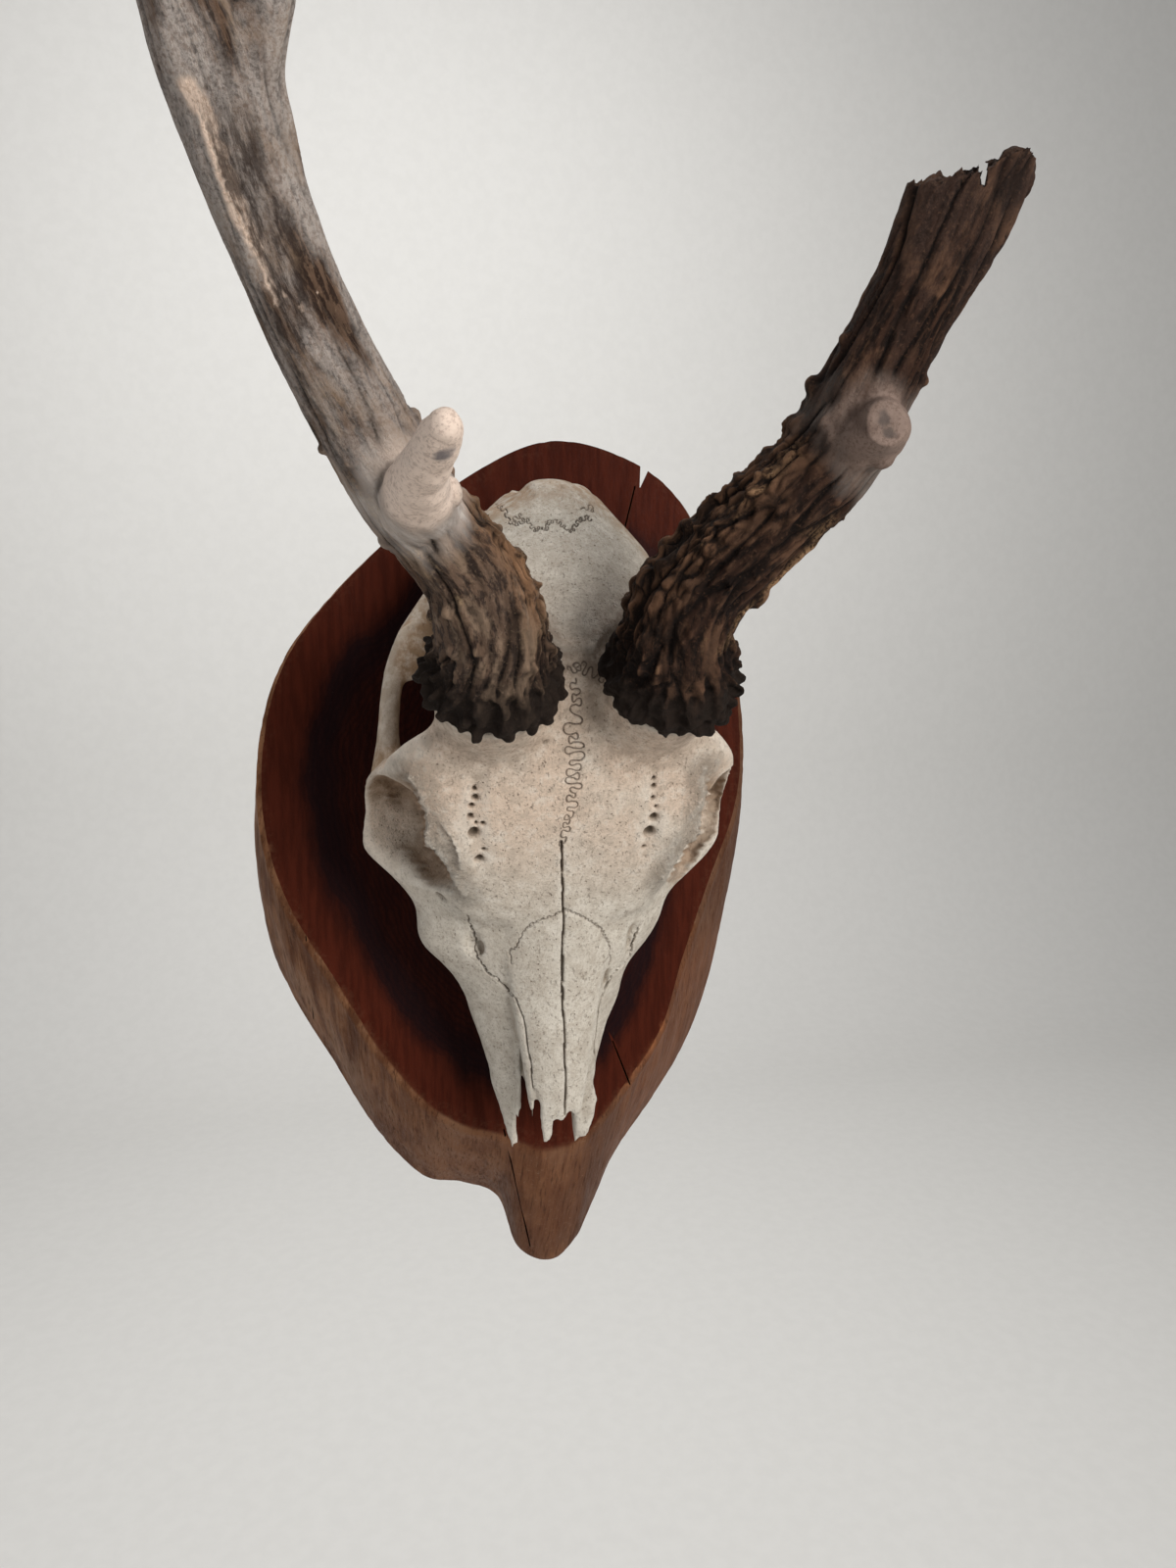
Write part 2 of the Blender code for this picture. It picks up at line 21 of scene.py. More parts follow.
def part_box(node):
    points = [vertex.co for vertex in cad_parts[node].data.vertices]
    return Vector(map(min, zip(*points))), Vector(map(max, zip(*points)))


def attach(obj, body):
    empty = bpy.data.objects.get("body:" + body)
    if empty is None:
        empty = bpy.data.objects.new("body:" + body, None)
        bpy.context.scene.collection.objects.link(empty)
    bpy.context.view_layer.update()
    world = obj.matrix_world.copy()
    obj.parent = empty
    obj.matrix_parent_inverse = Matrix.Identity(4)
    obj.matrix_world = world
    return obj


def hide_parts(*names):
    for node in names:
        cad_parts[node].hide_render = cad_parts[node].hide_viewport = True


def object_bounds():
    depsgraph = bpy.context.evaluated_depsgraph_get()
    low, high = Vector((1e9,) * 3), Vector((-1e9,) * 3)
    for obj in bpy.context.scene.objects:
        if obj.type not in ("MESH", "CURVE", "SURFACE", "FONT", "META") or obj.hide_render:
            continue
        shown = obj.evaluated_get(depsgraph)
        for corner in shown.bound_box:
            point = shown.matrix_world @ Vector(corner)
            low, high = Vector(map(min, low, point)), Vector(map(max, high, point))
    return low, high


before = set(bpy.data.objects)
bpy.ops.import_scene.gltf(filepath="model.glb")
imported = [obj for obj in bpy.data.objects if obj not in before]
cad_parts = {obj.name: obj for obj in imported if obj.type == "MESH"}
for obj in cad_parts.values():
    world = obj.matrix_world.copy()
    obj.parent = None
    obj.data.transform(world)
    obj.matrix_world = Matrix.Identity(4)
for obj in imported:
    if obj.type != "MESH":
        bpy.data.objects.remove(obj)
cad_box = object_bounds()
bpy.ops.object.select_all(action="DESELECT")
MM = 0.001
OUT_OF_WALL = Vector((0.0, -1.0, 0.0))
log_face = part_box("wooden_plaque")[0].y
print("solids", sorted(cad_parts), "log face at", round(log_face, 4))

# %% [markdown]
# ## The camera
#
# The photograph was taken close by with a wide lens, from a little to the left and a little above, so
# the antlers loom towards the viewer. A camera is a frame of its own: its pixel coordinates give a ray,
# and a ray gives a place on the skin that it meets. That is how a suture seen in the photograph finds
# its place on the bone.

# %% Put the camera where the photographer stood
IMAGE_WIDTH, IMAGE_HEIGHT = 1200, 1600
LENS_MM, SENSOR_MM = 26.0, 36.0
turned, lowered = math.radians(12.0), math.radians(8.0)
looking = Vector(
    (math.sin(turned) * math.cos(lowered), math.cos(turned) * math.cos(lowered), -math.sin(lowered))
)
looked_at = Vector((0.0042, -0.128, 0.0))
CAMERA_REACH = 0.324
bpy.ops.object.camera_add(location=looked_at - looking * CAMERA_REACH)
camera = bpy.context.object
camera.name = "camera"
camera.rotation_mode = "QUATERNION"
camera.rotation_quaternion = (-looking).to_track_quat("Z", "Y")
camera.data.lens = LENS_MM
camera.data.sensor_width = SENSOR_MM
camera.data.clip_start = 0.01
bpy.context.scene.camera = camera
bpy.context.view_layer.update()
pixels_per_slope = LENS_MM / SENSOR_MM * IMAGE_HEIGHT
print("camera at", [round(x, 4) for x in camera.location])


def ray_through(pixel):
    """The camera's place and the direction in which it sees a pixel of the photograph."""
    across = (pixel[0] - IMAGE_WIDTH / 2) / pixels_per_slope
    down = (pixel[1] - IMAGE_HEIGHT / 2) / pixels_per_slope
    eye = camera.matrix_world
    return eye.translation, (eye.to_3x3() @ Vector((across, -down, -1.0))).normalized()


def pixels_of(places):
    """The pixels at which places are seen, as their columns and their rows."""
    seen = (places - np.array(camera.location)) @ np.array(camera.matrix_world.to_3x3())
    steps = seen[:, :2] / -seen[:, 2:] * pixels_per_slope
    return IMAGE_WIDTH / 2 + steps[:, 0], IMAGE_HEIGHT / 2 - steps[:, 1]


# %% [markdown]
# ## Working with skins of many points
#
# Carving in code means moving thousands of points at once. These helpers read a mesh's points into an
# array, write them back, and say how far each point lies from a line or how far it stands proud of its
# surroundings. Brushes are then plain sums on arrays.


# %% Helpers for objects
def pick(*pieces):
    """Selects these pieces and nothing else, the first one active."""
    bpy.ops.object.select_all(action="DESELECT")
    for piece in pieces:
        piece.select_set(True)
    bpy.context.view_layer.objects.active = pieces[0]


def modify(piece, kind, **settings):
    """Adds a modifier with these settings and applies it."""
    pick(piece)
    bpy.ops.object.modifier_add(type=kind)
    step = piece.modifiers[-1]
    for name, value in settings.items():
        setattr(step, name, value)
    bpy.ops.object.modifier_apply(modifier=step.name)


def new_piece(name, points, faces):
    """A new object from points and faces."""
    mesh = bpy.data.meshes.new(name)
    mesh.from_pydata(np.array(points, float).tolist(), [], faces)
    piece = bpy.data.objects.new(name, mesh)
    bpy.context.scene.collection.objects.link(piece)
    return piece


def turned_outwards(piece):
    """The piece, once all its faces look outwards."""
    pick(piece)
    bpy.ops.object.mode_set(mode="EDIT")
    bpy.ops.mesh.select_all(action="SELECT")
    bpy.ops.mesh.normals_make_consistent(inside=False)
    bpy.ops.object.mode_set(mode="OBJECT")
    return piece


def choose(piece, kind, parts, chosen):
    """Enters edit mode with only these corners, edges or faces selected."""
    pick(piece)
    bpy.ops.object.mode_set(mode="EDIT")
    bpy.ops.mesh.select_mode(type=kind)
    bpy.ops.mesh.select_all(action="DESELECT")
    bpy.ops.object.mode_set(mode="OBJECT")
    parts.foreach_set("select", np.array(chosen, bool))
    bpy.ops.object.mode_set(mode="EDIT")


def cut_away(piece, cutter):
    """Takes a cutter's volume out of a piece, and removes the cutter."""
    modify(piece, "BOOLEAN", operation="DIFFERENCE", solver="EXACT", object=cutter)
    bpy.data.objects.remove(cutter)


def skin_tree(piece):
    """A piece's skin as it is now, for rays to meet."""
    return BVHTree.FromObject(piece, bpy.context.evaluated_depsgraph_get())


def merged_copy(node, name):
    """A copy of a solid's mesh as an object of its own, its loose triangles joined into one skin."""
    piece = bpy.data.objects.new(name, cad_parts[node].data.copy())
    bpy.context.scene.collection.objects.link(piece)
    piece.data.materials.clear()
    pick(piece)
    bpy.ops.object.mode_set(mode="EDIT")
    bpy.ops.mesh.select_all(action="SELECT")
    bpy.ops.mesh.remove_doubles(threshold=0.01 * MM)
    bpy.ops.object.mode_set(mode="OBJECT")
    bpy.ops.mesh.customdata_custom_splitnormals_clear()
    return piece


# %% [markdown]
# A mesh's points go into an array and back again. A number that is stored for each point can be read
# later by a material.


# %% Points in arrays
def points_of(piece, what="co"):
    """A piece's points, or the normals there, as an array of rows."""
    found = np.empty(len(piece.data.vertices) * 3)
    if what == "co":
        piece.data.vertices.foreach_get("co", found)
    else:
        piece.data.vertex_normals.foreach_get("vector", found)
    return found.reshape(-1, 3)


def move_points(piece, places):
    piece.data.vertices.foreach_set("co", places.ravel())
    piece.data.update()


def give(piece, name, values):
    """Stores a number, or a vector, for each point under a name that a material can read."""
    vector = values.ndim == 2
    kind, field = ("FLOAT_VECTOR", "vector") if vector else ("FLOAT", "value")
    layer = piece.data.attributes.new(name, kind, "POINT")
    layer.data.foreach_set(field, values.astype(np.float32).ravel())


# %% [markdown]
# Brushes need soft steps, smooth curves through a few given places, and the distance from each point
# of a skin to such a curve.


# %% Soft steps, curves and distances
def ease(low, high, values):
    """0 before low, 1 past high and a soft step between them. Low may be the greater of the two."""
    share = np.clip((values - low) / (high - low), 0.0, 1.0)
    return share * share * (3 - 2 * share)


def smooth_curve(points, count, closed=False):
    """Points at even steps of a smooth curve through the given ones, as an array."""
    spots = np.array(points, float)
    last = len(spots)
    spans = last if closed else last - 1
    place = np.arange(count) * spans / (count if closed else count - 1)
    i = np.minimum(place.astype(int), spans - 1)
    t = (place - i)[:, None]
    around = (lambda k: spots[k % last]) if closed else (lambda k: spots[np.clip(k, 0, last - 1)])
    a, b, c, d = (around(i + j) for j in (-1, 0, 1, 2))
    return (2 * b + (c - a) * t + (2 * a - 5 * b + 4 * c - d) * t**2 + (3 * b - a - 3 * c + d) * t**3) / 2


def apart(places, place):
    """How far each place is from one place."""
    return np.linalg.norm(places - place, axis=1)


def nearest(places, line, reach):
    """For each place, its distance to the closest point of a line and that point's number."""
    line = np.asarray(line)
    tree = kdtree.KDTree(len(line))
    for k, point in enumerate(line):
        tree.insert(point, k)
    tree.balance()
    away = np.full(len(places), float(reach))
    which = np.zeros(len(places), int)
    close = np.all((places > line.min(0) - reach) & (places < line.max(0) + reach), axis=1)
    for k in np.flatnonzero(close):
        _, number, distance = tree.find(places[k])
        if distance < reach:
            away[k], which[k] = distance, number
    return away, which


# %% [markdown]
# A skin's own net tells what stands proud: each point is compared with the mean of its neighbours,
# taken over and over. Smooth random hills make the rest uneven.


# %% Means over neighbours, and random hills
def neighbours_mean(piece, rounds):
    """A function that averages a value over each point's neighbours, as many times as asked."""
    edges = np.empty(len(piece.data.edges) * 2, int)
    piece.data.edges.foreach_get("vertices", edges)
    ends = edges.reshape(-1, 2)
    a, b = np.r_[ends[:, 0], ends[:, 1]], np.r_[ends[:, 1], ends[:, 0]]
    count = len(piece.data.vertices)
    share = 1.0 / np.maximum(np.bincount(a, minlength=count), 1)

    def average(values):
        columns = values.reshape(count, -1).T
        for _ in range(rounds):
            columns = [np.bincount(a, weights=column[b], minlength=count) * share for column in columns]
        return np.stack(columns, axis=1).reshape(values.shape)

    return average


def proudness(piece, rounds):
    """How far each point stands proud of its surroundings, in millimetres, and below zero in a hollow."""
    places = points_of(piece)
    calm = neighbours_mean(piece, rounds)(places)
    return np.einsum("ij,ij->i", places - calm, points_of(piece, "normal")) / MM


def wander(places, size, seed=0.0):
    """Smooth random values from -1 to 1, whose hills are about as wide as size."""
    scaled = places / size + seed * 7.31
    return np.array([noise.noise(point) for point in scaled])


# %% [markdown]
# ## The bone's skin
#
# The solid skull has flat facets. Catmull-Clark subdivision rounds them, and creases on its sharp edges
# keep the rims of the eye sockets and the ends of the nose crisp. A voxel remesh then lays an even net
# over all of it, fine enough for a suture, as a sculptor would before taking up the small tools.


# %% Round the facets and lay an even net
def rounded(piece, sharp_angle, crease, levels=2):
    """Smooths a faceted skin, but holds the edges that are sharper than an angle."""
    pick(piece)
    bpy.ops.object.mode_set(mode="EDIT")
    bpy.ops.mesh.select_mode(type="EDGE")
    bpy.ops.mesh.select_all(action="DESELECT")
    bpy.ops.mesh.edges_select_sharp(sharpness=math.radians(sharp_angle))
    bpy.ops.object.mode_set(mode="OBJECT")
    chosen = np.empty(len(piece.data.edges), bool)
    piece.data.edges.foreach_get("select", chosen)
    layer = piece.data.attributes.new("crease_edge", "FLOAT", "EDGE")
    layer.data.foreach_set("value", chosen.astype(np.float32) * crease)
    modify(piece, "SUBSURF", levels=levels, render_levels=levels)


SKULL_NET = 0.85 * MM
skull = merged_copy("deer_skull", "bleached_skull")
rounded(skull, sharp_angle=48, crease=0.75)

# %% [markdown]
# The ends of the upper jaw are three thin blades of bone, broken off unevenly. Each is a flat outline
# seen in the photograph, set at its depth over the log and given a thickness. The net that is laid
# next joins them to the jaw.


# %% Add the blades at the end of the jaw
def laid_on(tree, pixels):
    """The places where the pixels' rays meet a skin. A ray that misses it gives none."""
    found = []
    for pixel in pixels:
        hit = tree.ray_cast(*ray_through(pixel))
        if hit[0] is not None:
            found.append(hit[0])
    return np.array(found)


def on_depth(pixel, height):
    """The place where a pixel's ray meets the plane at that height over the log's face."""
    origin, way = ray_through(pixel)
    return origin + way * ((log_face - height * MM - origin.y) / way.y)


def blade(pixels, height, tilt, thickness):
    """A thin plate with a given outline. Its lower end lies tilt millimetres nearer to the log."""
    bpy.ops.mesh.primitive_circle_add(vertices=len(pixels), radius=MM, fill_type="NGON")
    plate = bpy.context.object
    top = min(y for _, y in pixels)
    span = max(y for _, y in pixels) - top
    corners = [on_depth((x, y), height - tilt * (y - top) / span) for x, y in pixels]
    move_points(plate, np.array(corners))
    plate.location = (0, 0, 0)
    pick(plate)
    bpy.ops.object.mode_set(mode="EDIT")
    bpy.ops.mesh.select_all(action="SELECT")
    bpy.ops.mesh.extrude_region_move(TRANSFORM_OT_translate={"value": (0, thickness * MM, 0)})
    bpy.ops.object.mode_set(mode="OBJECT")
    return turned_outwards(plate)


LEFT_BLADE = ((516, 1090), (530, 1090), (531, 1128), (527, 1140), (529, 1168), (521, 1168), (519, 1138))
MIDDLE_BLADE = ((550, 1096), (569, 1096), (569, 1128), (565, 1146), (563, 1163), (555, 1168), (552, 1140))
RIGHT_BLADE = ((590, 1104), (604, 1098), (610, 1122), (606, 1142), (599, 1160), (594, 1162), (590, 1146))
blades = [
    blade(LEFT_BLADE, 25.0, 4.0, 2.6),
    blade(MIDDLE_BLADE, 33.0, 6.0, 2.6),
    blade(RIGHT_BLADE, 29.0, 5.0, 3.0),
]
print(len(blades), "blades, of", [len(plate.data.polygons) for plate in blades], "faces")

# %% [markdown]
# Over each eye the brow bone ends in a ragged shelf. It is drawn in two rows of pixels: the free edge,
# and a line on the bone that carries it. The bone's own slope, taken with rays, gives the shelf its
# depth, so that it goes on from the brow as one surface. A raised crest runs round the back of the head.


# %% A shelf from its edge, and a rod through places
# How far a shelf stands towards the camera from the bone's slope, how deep its foot lies in the bone,
# and how far inside its anchors the second row of rays meets the bone, in pixels
SHELF_LIFT, FOOT_DEPTH, ROW_STEP = 0.7 * MM, 0.2 * MM, 22


def shelf(tree, edge, anchors, thickness):
    """A plate from its anchors, which are pixels on the bone, out to its edge, on the bone's slope."""
    carried = laid_on(tree, anchors)
    inwards = ROW_STEP if anchors[0][0] > edge[0][0] else -ROW_STEP
    both = np.concatenate([carried, laid_on(tree, [(x + inwards, y) for x, y in anchors])])
    middle = np.mean(both, axis=0)
    facing = np.linalg.svd(both - middle)[2][-1]
    rows = [[], []]
    for pixel in edge:
        origin, way = (np.array(v) for v in ray_through(pixel))
        rows[0].append(origin + way * ((middle - origin) @ facing) / (way @ facing) - way * SHELF_LIFT)
    for point in smooth_curve(carried, len(edge)):
        rows[1].append(point + np.array((0, FOOT_DEPTH, 0)))
    count = len(edge)
    back = np.array((0, thickness * MM, 0))
    points = [*rows[0], *rows[1], *(p + back for p in rows[1]), *(p + back for p in rows[0])]
    faces = []
    for k in range(count - 1):
        for row in range(4):
            a, b = row * count + k, (row + 1) % 4 * count + k
            faces.append((a, b, b + 1, a + 1))
    faces += [(0, count, 2 * count, 3 * count), tuple(count * (4 - row) - 1 for row in range(4))]
    return turned_outwards(new_piece("brow shelf", points, faces))


def rod(places, radius):
    """A round bar through places, as a curve that is made a mesh."""
    line = bpy.data.curves.new("crest", "CURVE")
    line.dimensions = "3D"
    line.bevel_depth = radius
    line.use_fill_caps = True
    spline = line.splines.new("POLY")
    spline.points.add(len(places) - 1)
    for point, place in zip(spline.points, places):
        point.co = (*place, 1.0)
    obj = bpy.data.objects.new("crest", line)
    bpy.context.scene.collection.objects.link(obj)
    pick(obj)
    bpy.ops.object.convert(target="MESH")
    return bpy.context.object


# %% [markdown]
# The outlines are read off the photograph, in its pixels. All additions are joined to the skull, and
# the net then fuses them with it.

# %% Add the brow shelves and the crest at the back
LEFT_SHELF = (
    (410, 792), (417, 796), (423, 803), (426, 810), (427, 819), (432, 826), (434, 835), (434, 845),
    (433, 855), (434, 862), (441, 867), (447, 873), (452, 880), (458, 890), (462, 902), (470, 914),
)  # fmt: skip
LEFT_ANCHORS = ((440, 790), (458, 806), (474, 830), (484, 855), (492, 880), (498, 900), (500, 920))
RIGHT_SHELF = (
    (727, 785), (722, 788), (720, 794), (720, 801), (722, 813), (720, 822), (716, 829), (715, 842),
    (712, 852), (706, 859), (700, 861), (694, 875), (689, 882), (683, 892), (679, 902),
)  # fmt: skip
RIGHT_ANCHORS = ((704, 784), (698, 800), (692, 820), (686, 840), (680, 860), (672, 880), (664, 900))
BACK_CREST = (
    (516, 512), (525, 508), (534, 503), (546, 498), (563, 496), (577, 499), (590, 504), (600, 508),
    (608, 514), (613, 521), (619, 531), (627, 540), (637, 549), (646, 556), (652, 565), (656, 576),
)  # fmt: skip
# Both ends of the crest sink into the bone
CREST_STEPS, CREST_RADIUS = 60, 1.9 * MM
CREST_HEIGHTS = 44.0 - 8.0 * (1 - np.sin(np.linspace(0, math.pi, CREST_STEPS))) ** 3
crest_route = zip(smooth_curve(BACK_CREST, CREST_STEPS), CREST_HEIGHTS)
bone = skin_tree(skull)
# The cheek arch widens to a plate where it joins the side of the head
ARCH_PLATE = ((448, 626), (428, 629), (408, 643), (399, 664), (391, 690), (402, 699), (424, 694), (446, 690))
additions = [
    *blades,
    blade(ARCH_PLATE, 42.0, 3.0, 3.2),
    shelf(bone, LEFT_SHELF, LEFT_ANCHORS, 2.6),
    shelf(bone, RIGHT_SHELF, RIGHT_ANCHORS, 2.6),
    rod([on_depth(pixel, height) for pixel, height in crest_route], CREST_RADIUS),
]
pick(skull, *additions)
bpy.ops.object.join()
modify(skull, "REMESH", mode="VOXEL", voxel_size=SKULL_NET)
modify(skull, "SMOOTH", factor=0.5, iterations=3)
print("skull with its additions", len(skull.data.polygons), "faces")

# %% [markdown]
# The end of the nose is notched, and there are gaps where the cheek, brow and nose bones don't quite
# meet. A cutter for each has its outline in pixels and follows their rays inwards, so its walls run
# along the line of sight. The net is then laid once more, so the cut edges are as fine as the rest.


# %% Cut the notches and the gaps
def punch(piece, pixels, highest, lowest):
    """Cuts a hole with an outline in pixels, from a height over the log down to a lower one."""
    near = [on_depth(pixel, highest) for pixel in pixels]
    far = [on_depth(pixel, lowest) for pixel in pixels]
    count = len(pixels)
    sides = [(k, (k + 1) % count, (k + 1) % count + count, k + count) for k in range(count)]
    ends = [tuple(range(count)), tuple(range(count, 2 * count))]
    cut_away(piece, turned_outwards(new_piece("punch", [*near, *far], [*ends, *sides])))


# Outlines with the heights between which each is cut
PUNCHES = (
    (((543, 1160), (545, 1122), (541, 1106), (547, 1112), (552, 1128), (551, 1160)), 60, 1),
    (((563, 1160), (566, 1136), (568, 1128), (570, 1137), (573, 1160)), 60, 36),
    (((581, 1160), (583, 1139), (585, 1130), (588, 1140), (590, 1160)), 60, 36),
    (((572, 1160), (576, 1144), (578, 1160)), 60, 36),
    (((484, 952), (488, 957), (494, 962), (495, 970), (491, 977), (488, 974), (486, 962)), 75, 45),
    (((500, 996), (510, 1001), (520, 1004), (523, 1014), (514, 1008)), 75, 34),
    (((640, 957), (646, 953), (646, 974), (641, 977)), 75, 38),
    (((619, 986), (625, 990), (622, 1004), (616, 1014), (616, 1000)), 75, 34),
)  # fmt: skip
for outline, highest, lowest in PUNCHES:
    punch(skull, outline, highest, lowest)
modify(skull, "REMESH", mode="VOXEL", voxel_size=SKULL_NET)
modify(skull, "SMOOTH", factor=0.5, iterations=1)
print("skull net", len(skull.data.polygons), "faces after", len(PUNCHES), "punches")

# %% [markdown]
# A broad soft brush then moves the outline where it still differs from the photograph. Each stroke has
# a place, a push and a reach, and fades out all round as a bell curve does.

# %% Nudge the outline with a soft brush
# Each stroke as (pixel, height over the log, push right, push up, reach), in millimetres
NUDGES = (
    ((430, 962), 30, -5.5, 0, 10), ((384, 878), 55, -4.0, 0, 9), ((724, 862), 55, 5.0, 0, 9),
    ((692, 915), 50, -2.0, 0, 7), ((655, 985), 32, -3.2, 0, 10), ((632, 1042), 28, -1.2, 0, 9),
    ((510, 492), 44, 0.8, -4.0, 6),
)  # fmt: skip
places = points_of(skull)
shift = np.zeros_like(places)
for pixel, height, right, up, reach in NUDGES:
    aside = (places - np.array(on_depth(pixel, height)))[:, (0, 2)]
    share = np.exp(-((np.linalg.norm(aside, axis=1) / (reach * MM)) ** 2))
    shift += share[:, None] * np.array((right, 0, up)) * MM
places += shift
# The back's upper left corner is smoothed over
BACK_CORNER = np.array(on_depth((515, 500), 44))
from_corner = np.linalg.norm((places - BACK_CORNER)[:, (0, 2)], axis=1)
smoothed = 1 - ease(5 * MM, 9 * MM, from_corner)
move_points(skull, places + (neighbours_mean(skull, 60)(places) - places) * smoothed[:, None])
print("outline moved up to", round(np.abs(shift).max() / MM, 1), "mm")

# %% [markdown]
# The cheek teeth stand on the log. Their rows are plates in the solid, so here the plates' corners are
# rounded off, and creases from the gum to the log part the worn crowns.

# %% Round the tooth rows and part the teeth
TOOTH_MM, CROWN_MM = 11.0, 12.5
places = points_of(skull)
height, along_row = (log_face - places[:, 1]) / MM, places[:, 2] / MM
tooth_row = (1 - ease(27, 33, height)) * ease(-112, -104, along_row) * (1 - ease(3, 9, along_row))
tooth_row *= ease(9, 13, np.abs(places[:, 0]) / MM)
rounding = (neighbours_mean(skull, 60)(places) - places) * tooth_row[:, None]
rounding[:, 1] = 0
places += rounding
sideways = points_of(skull, "normal") * np.array((1, 0, 1))
from_crease = np.abs((places[:, 2] / MM / TOOTH_MM + 0.5) % 1 - 0.5) * TOOTH_MM
from_cleft = from_crease - TOOTH_MM / 2
crease = np.exp(-((from_crease / 1.2) ** 2)) * 1.3 + np.exp(-((from_cleft / 0.9) ** 2)) * 0.5
crown = tooth_row * (1 - ease(CROWN_MM - 1.5, CROWN_MM + 1, height + wander(places, 5 * MM, 51)))
move_points(skull, places - sideways * (crease * crown * MM)[:, None])
print("teeth parted on", int((crown > 0.5).sum()), "points")

# %% [markdown]
# ## Sutures, cracks and pits
#
# A skull is many bones that met along interlocking seams. Each seam is drawn along its way through the
# photograph as a meandering line, laid on the bone with rays, and cut in as a furrow. Where furrows
# run, the net is divided twice more, so they stay as thin as on the real skull.

# %% Draw the lines in the photograph's pixels
CROWN_SUTURE = (
    (586, 694, 4), (587, 706, 6), (588, 720, 8), (585, 744, 11), (585, 757, 11), (585, 771, 13),
    (586, 784, 10), (586, 796, 9), (585, 806, 8), (583, 819, 7), (582, 830, 6), (578, 840, 6),
    (577, 850, 6), (573, 862, 4), (573, 869, 0),
)  # fmt: skip
BROW_SUTURE = ((581, 684, 3), (588, 680, 8), (597, 683, 7), (606, 688, 6), (616, 694, 4))
NECK_SUTURE = (
    (506, 516, 2), (513, 519, 3), (519, 530, 3), (529, 535, 3), (536, 530, 3), (541, 536, 2), (547, 541, 2),
    (551, 538, 2), (557, 540, 2), (560, 533, 2), (569, 532, 2), (576, 538, 2), (583, 542, 2), (588, 535, 3),
    (594, 529, 3), (603, 528, 3),
)  # fmt: skip
NECK_SPUR_LEFT = ((522, 536, 3), (529, 526, 4), (535, 534, 3))
NECK_SPUR_RIGHT = ((594, 520, 3), (601, 517, 3), (606, 521, 2))
MIDLINE_CRACK = (
    (573, 868), (574, 900), (575, 935), (574, 980), (574, 1010), (575, 1040), (577, 1090), (577, 1150),
)  # fmt: skip
NOSE_ROOT_LEFT = (
    (573, 930), (560, 936), (551, 939), (541, 944), (534, 951), (529, 961), (525, 968), (520, 970),
    (522, 984),
)  # fmt: skip
NOSE_ROOT_RIGHT = (
    (576, 928), (587, 932), (597, 937), (606, 942), (613, 948), (618, 956), (622, 964), (622, 984),
)  # fmt: skip
NOSE_SIDE_LEFT = ((523, 1016), (528, 1024), (533, 1038), (537, 1060), (540, 1079), (542, 1094), (544, 1112))
NOSE_SIDE_RIGHT = ((618, 1009), (614, 1020), (609, 1043), (607, 1070), (607, 1093), (605, 1112))
CHEEK_SEAM_LEFT = (
    (477, 936), (481, 946), (485, 956), (486, 974), (492, 984), (499, 994), (509, 1000), (523, 1016),
)  # fmt: skip
CHEEK_SEAM_RIGHT = ((655, 941), (649, 952), (645, 962), (643, 975), (634, 986), (625, 995), (618, 1009))


# %% [markdown]
# A suture swings to and fro like the edge of a jigsaw piece. Its swings come from seeded dice, and its
# lobes lean over each other. Cracks are ragged by the same small amount all along.


# %% Wind the lines and lay them on the bone
def meander(route, wavelength, seed):
    """A line that winds left and right of a route. Each of its points is (x, y, swing), in pixels."""
    dice = random.Random(seed)
    length = sum(math.dist(a[:2], b[:2]) for a, b in zip(route, route[1:]))
    waves = max(2, int(length / wavelength))
    swings = [dice.uniform(0.4, 1.05) for _ in range(waves * 2 + 3)]
    shifts = [dice.uniform(-0.3, 0.35) for _ in range(waves * 2 + 3)]
    fine = smooth_curve(route, waves * 36)
    line = []
    for k, (x, y, swing) in enumerate(fine):
        before, after = fine[max(k - 1, 0)], fine[min(k + 1, len(fine) - 1)]
        ahead = Vector((after[0] - before[0], after[1] - before[1])).normalized()
        phase = math.pi * k / 18
        phase += 0.5 * math.sin(phase * 0.37 + seed) + 0.35 * math.sin(phase * 0.83 + 2 * seed) + 0.4
        half = int(phase / math.pi)
        bend = math.sin(phase) * swing * swings[half]
        # The lobes lean over each other, as the teeth of a suture do
        push = -math.sin(2 * phase) * wavelength * (0.15 + 0.4 * shifts[half])
        line.append((x + ahead.y * bend + ahead.x * push, y - ahead.x * bend + ahead.y * push))
    return line


def ragged(route, wavelength, swing, seed):
    """A line that winds by the same swing all along its route."""
    return meander([(x, y, swing) for x, y in route], wavelength, seed)


skin = skin_tree(skull)
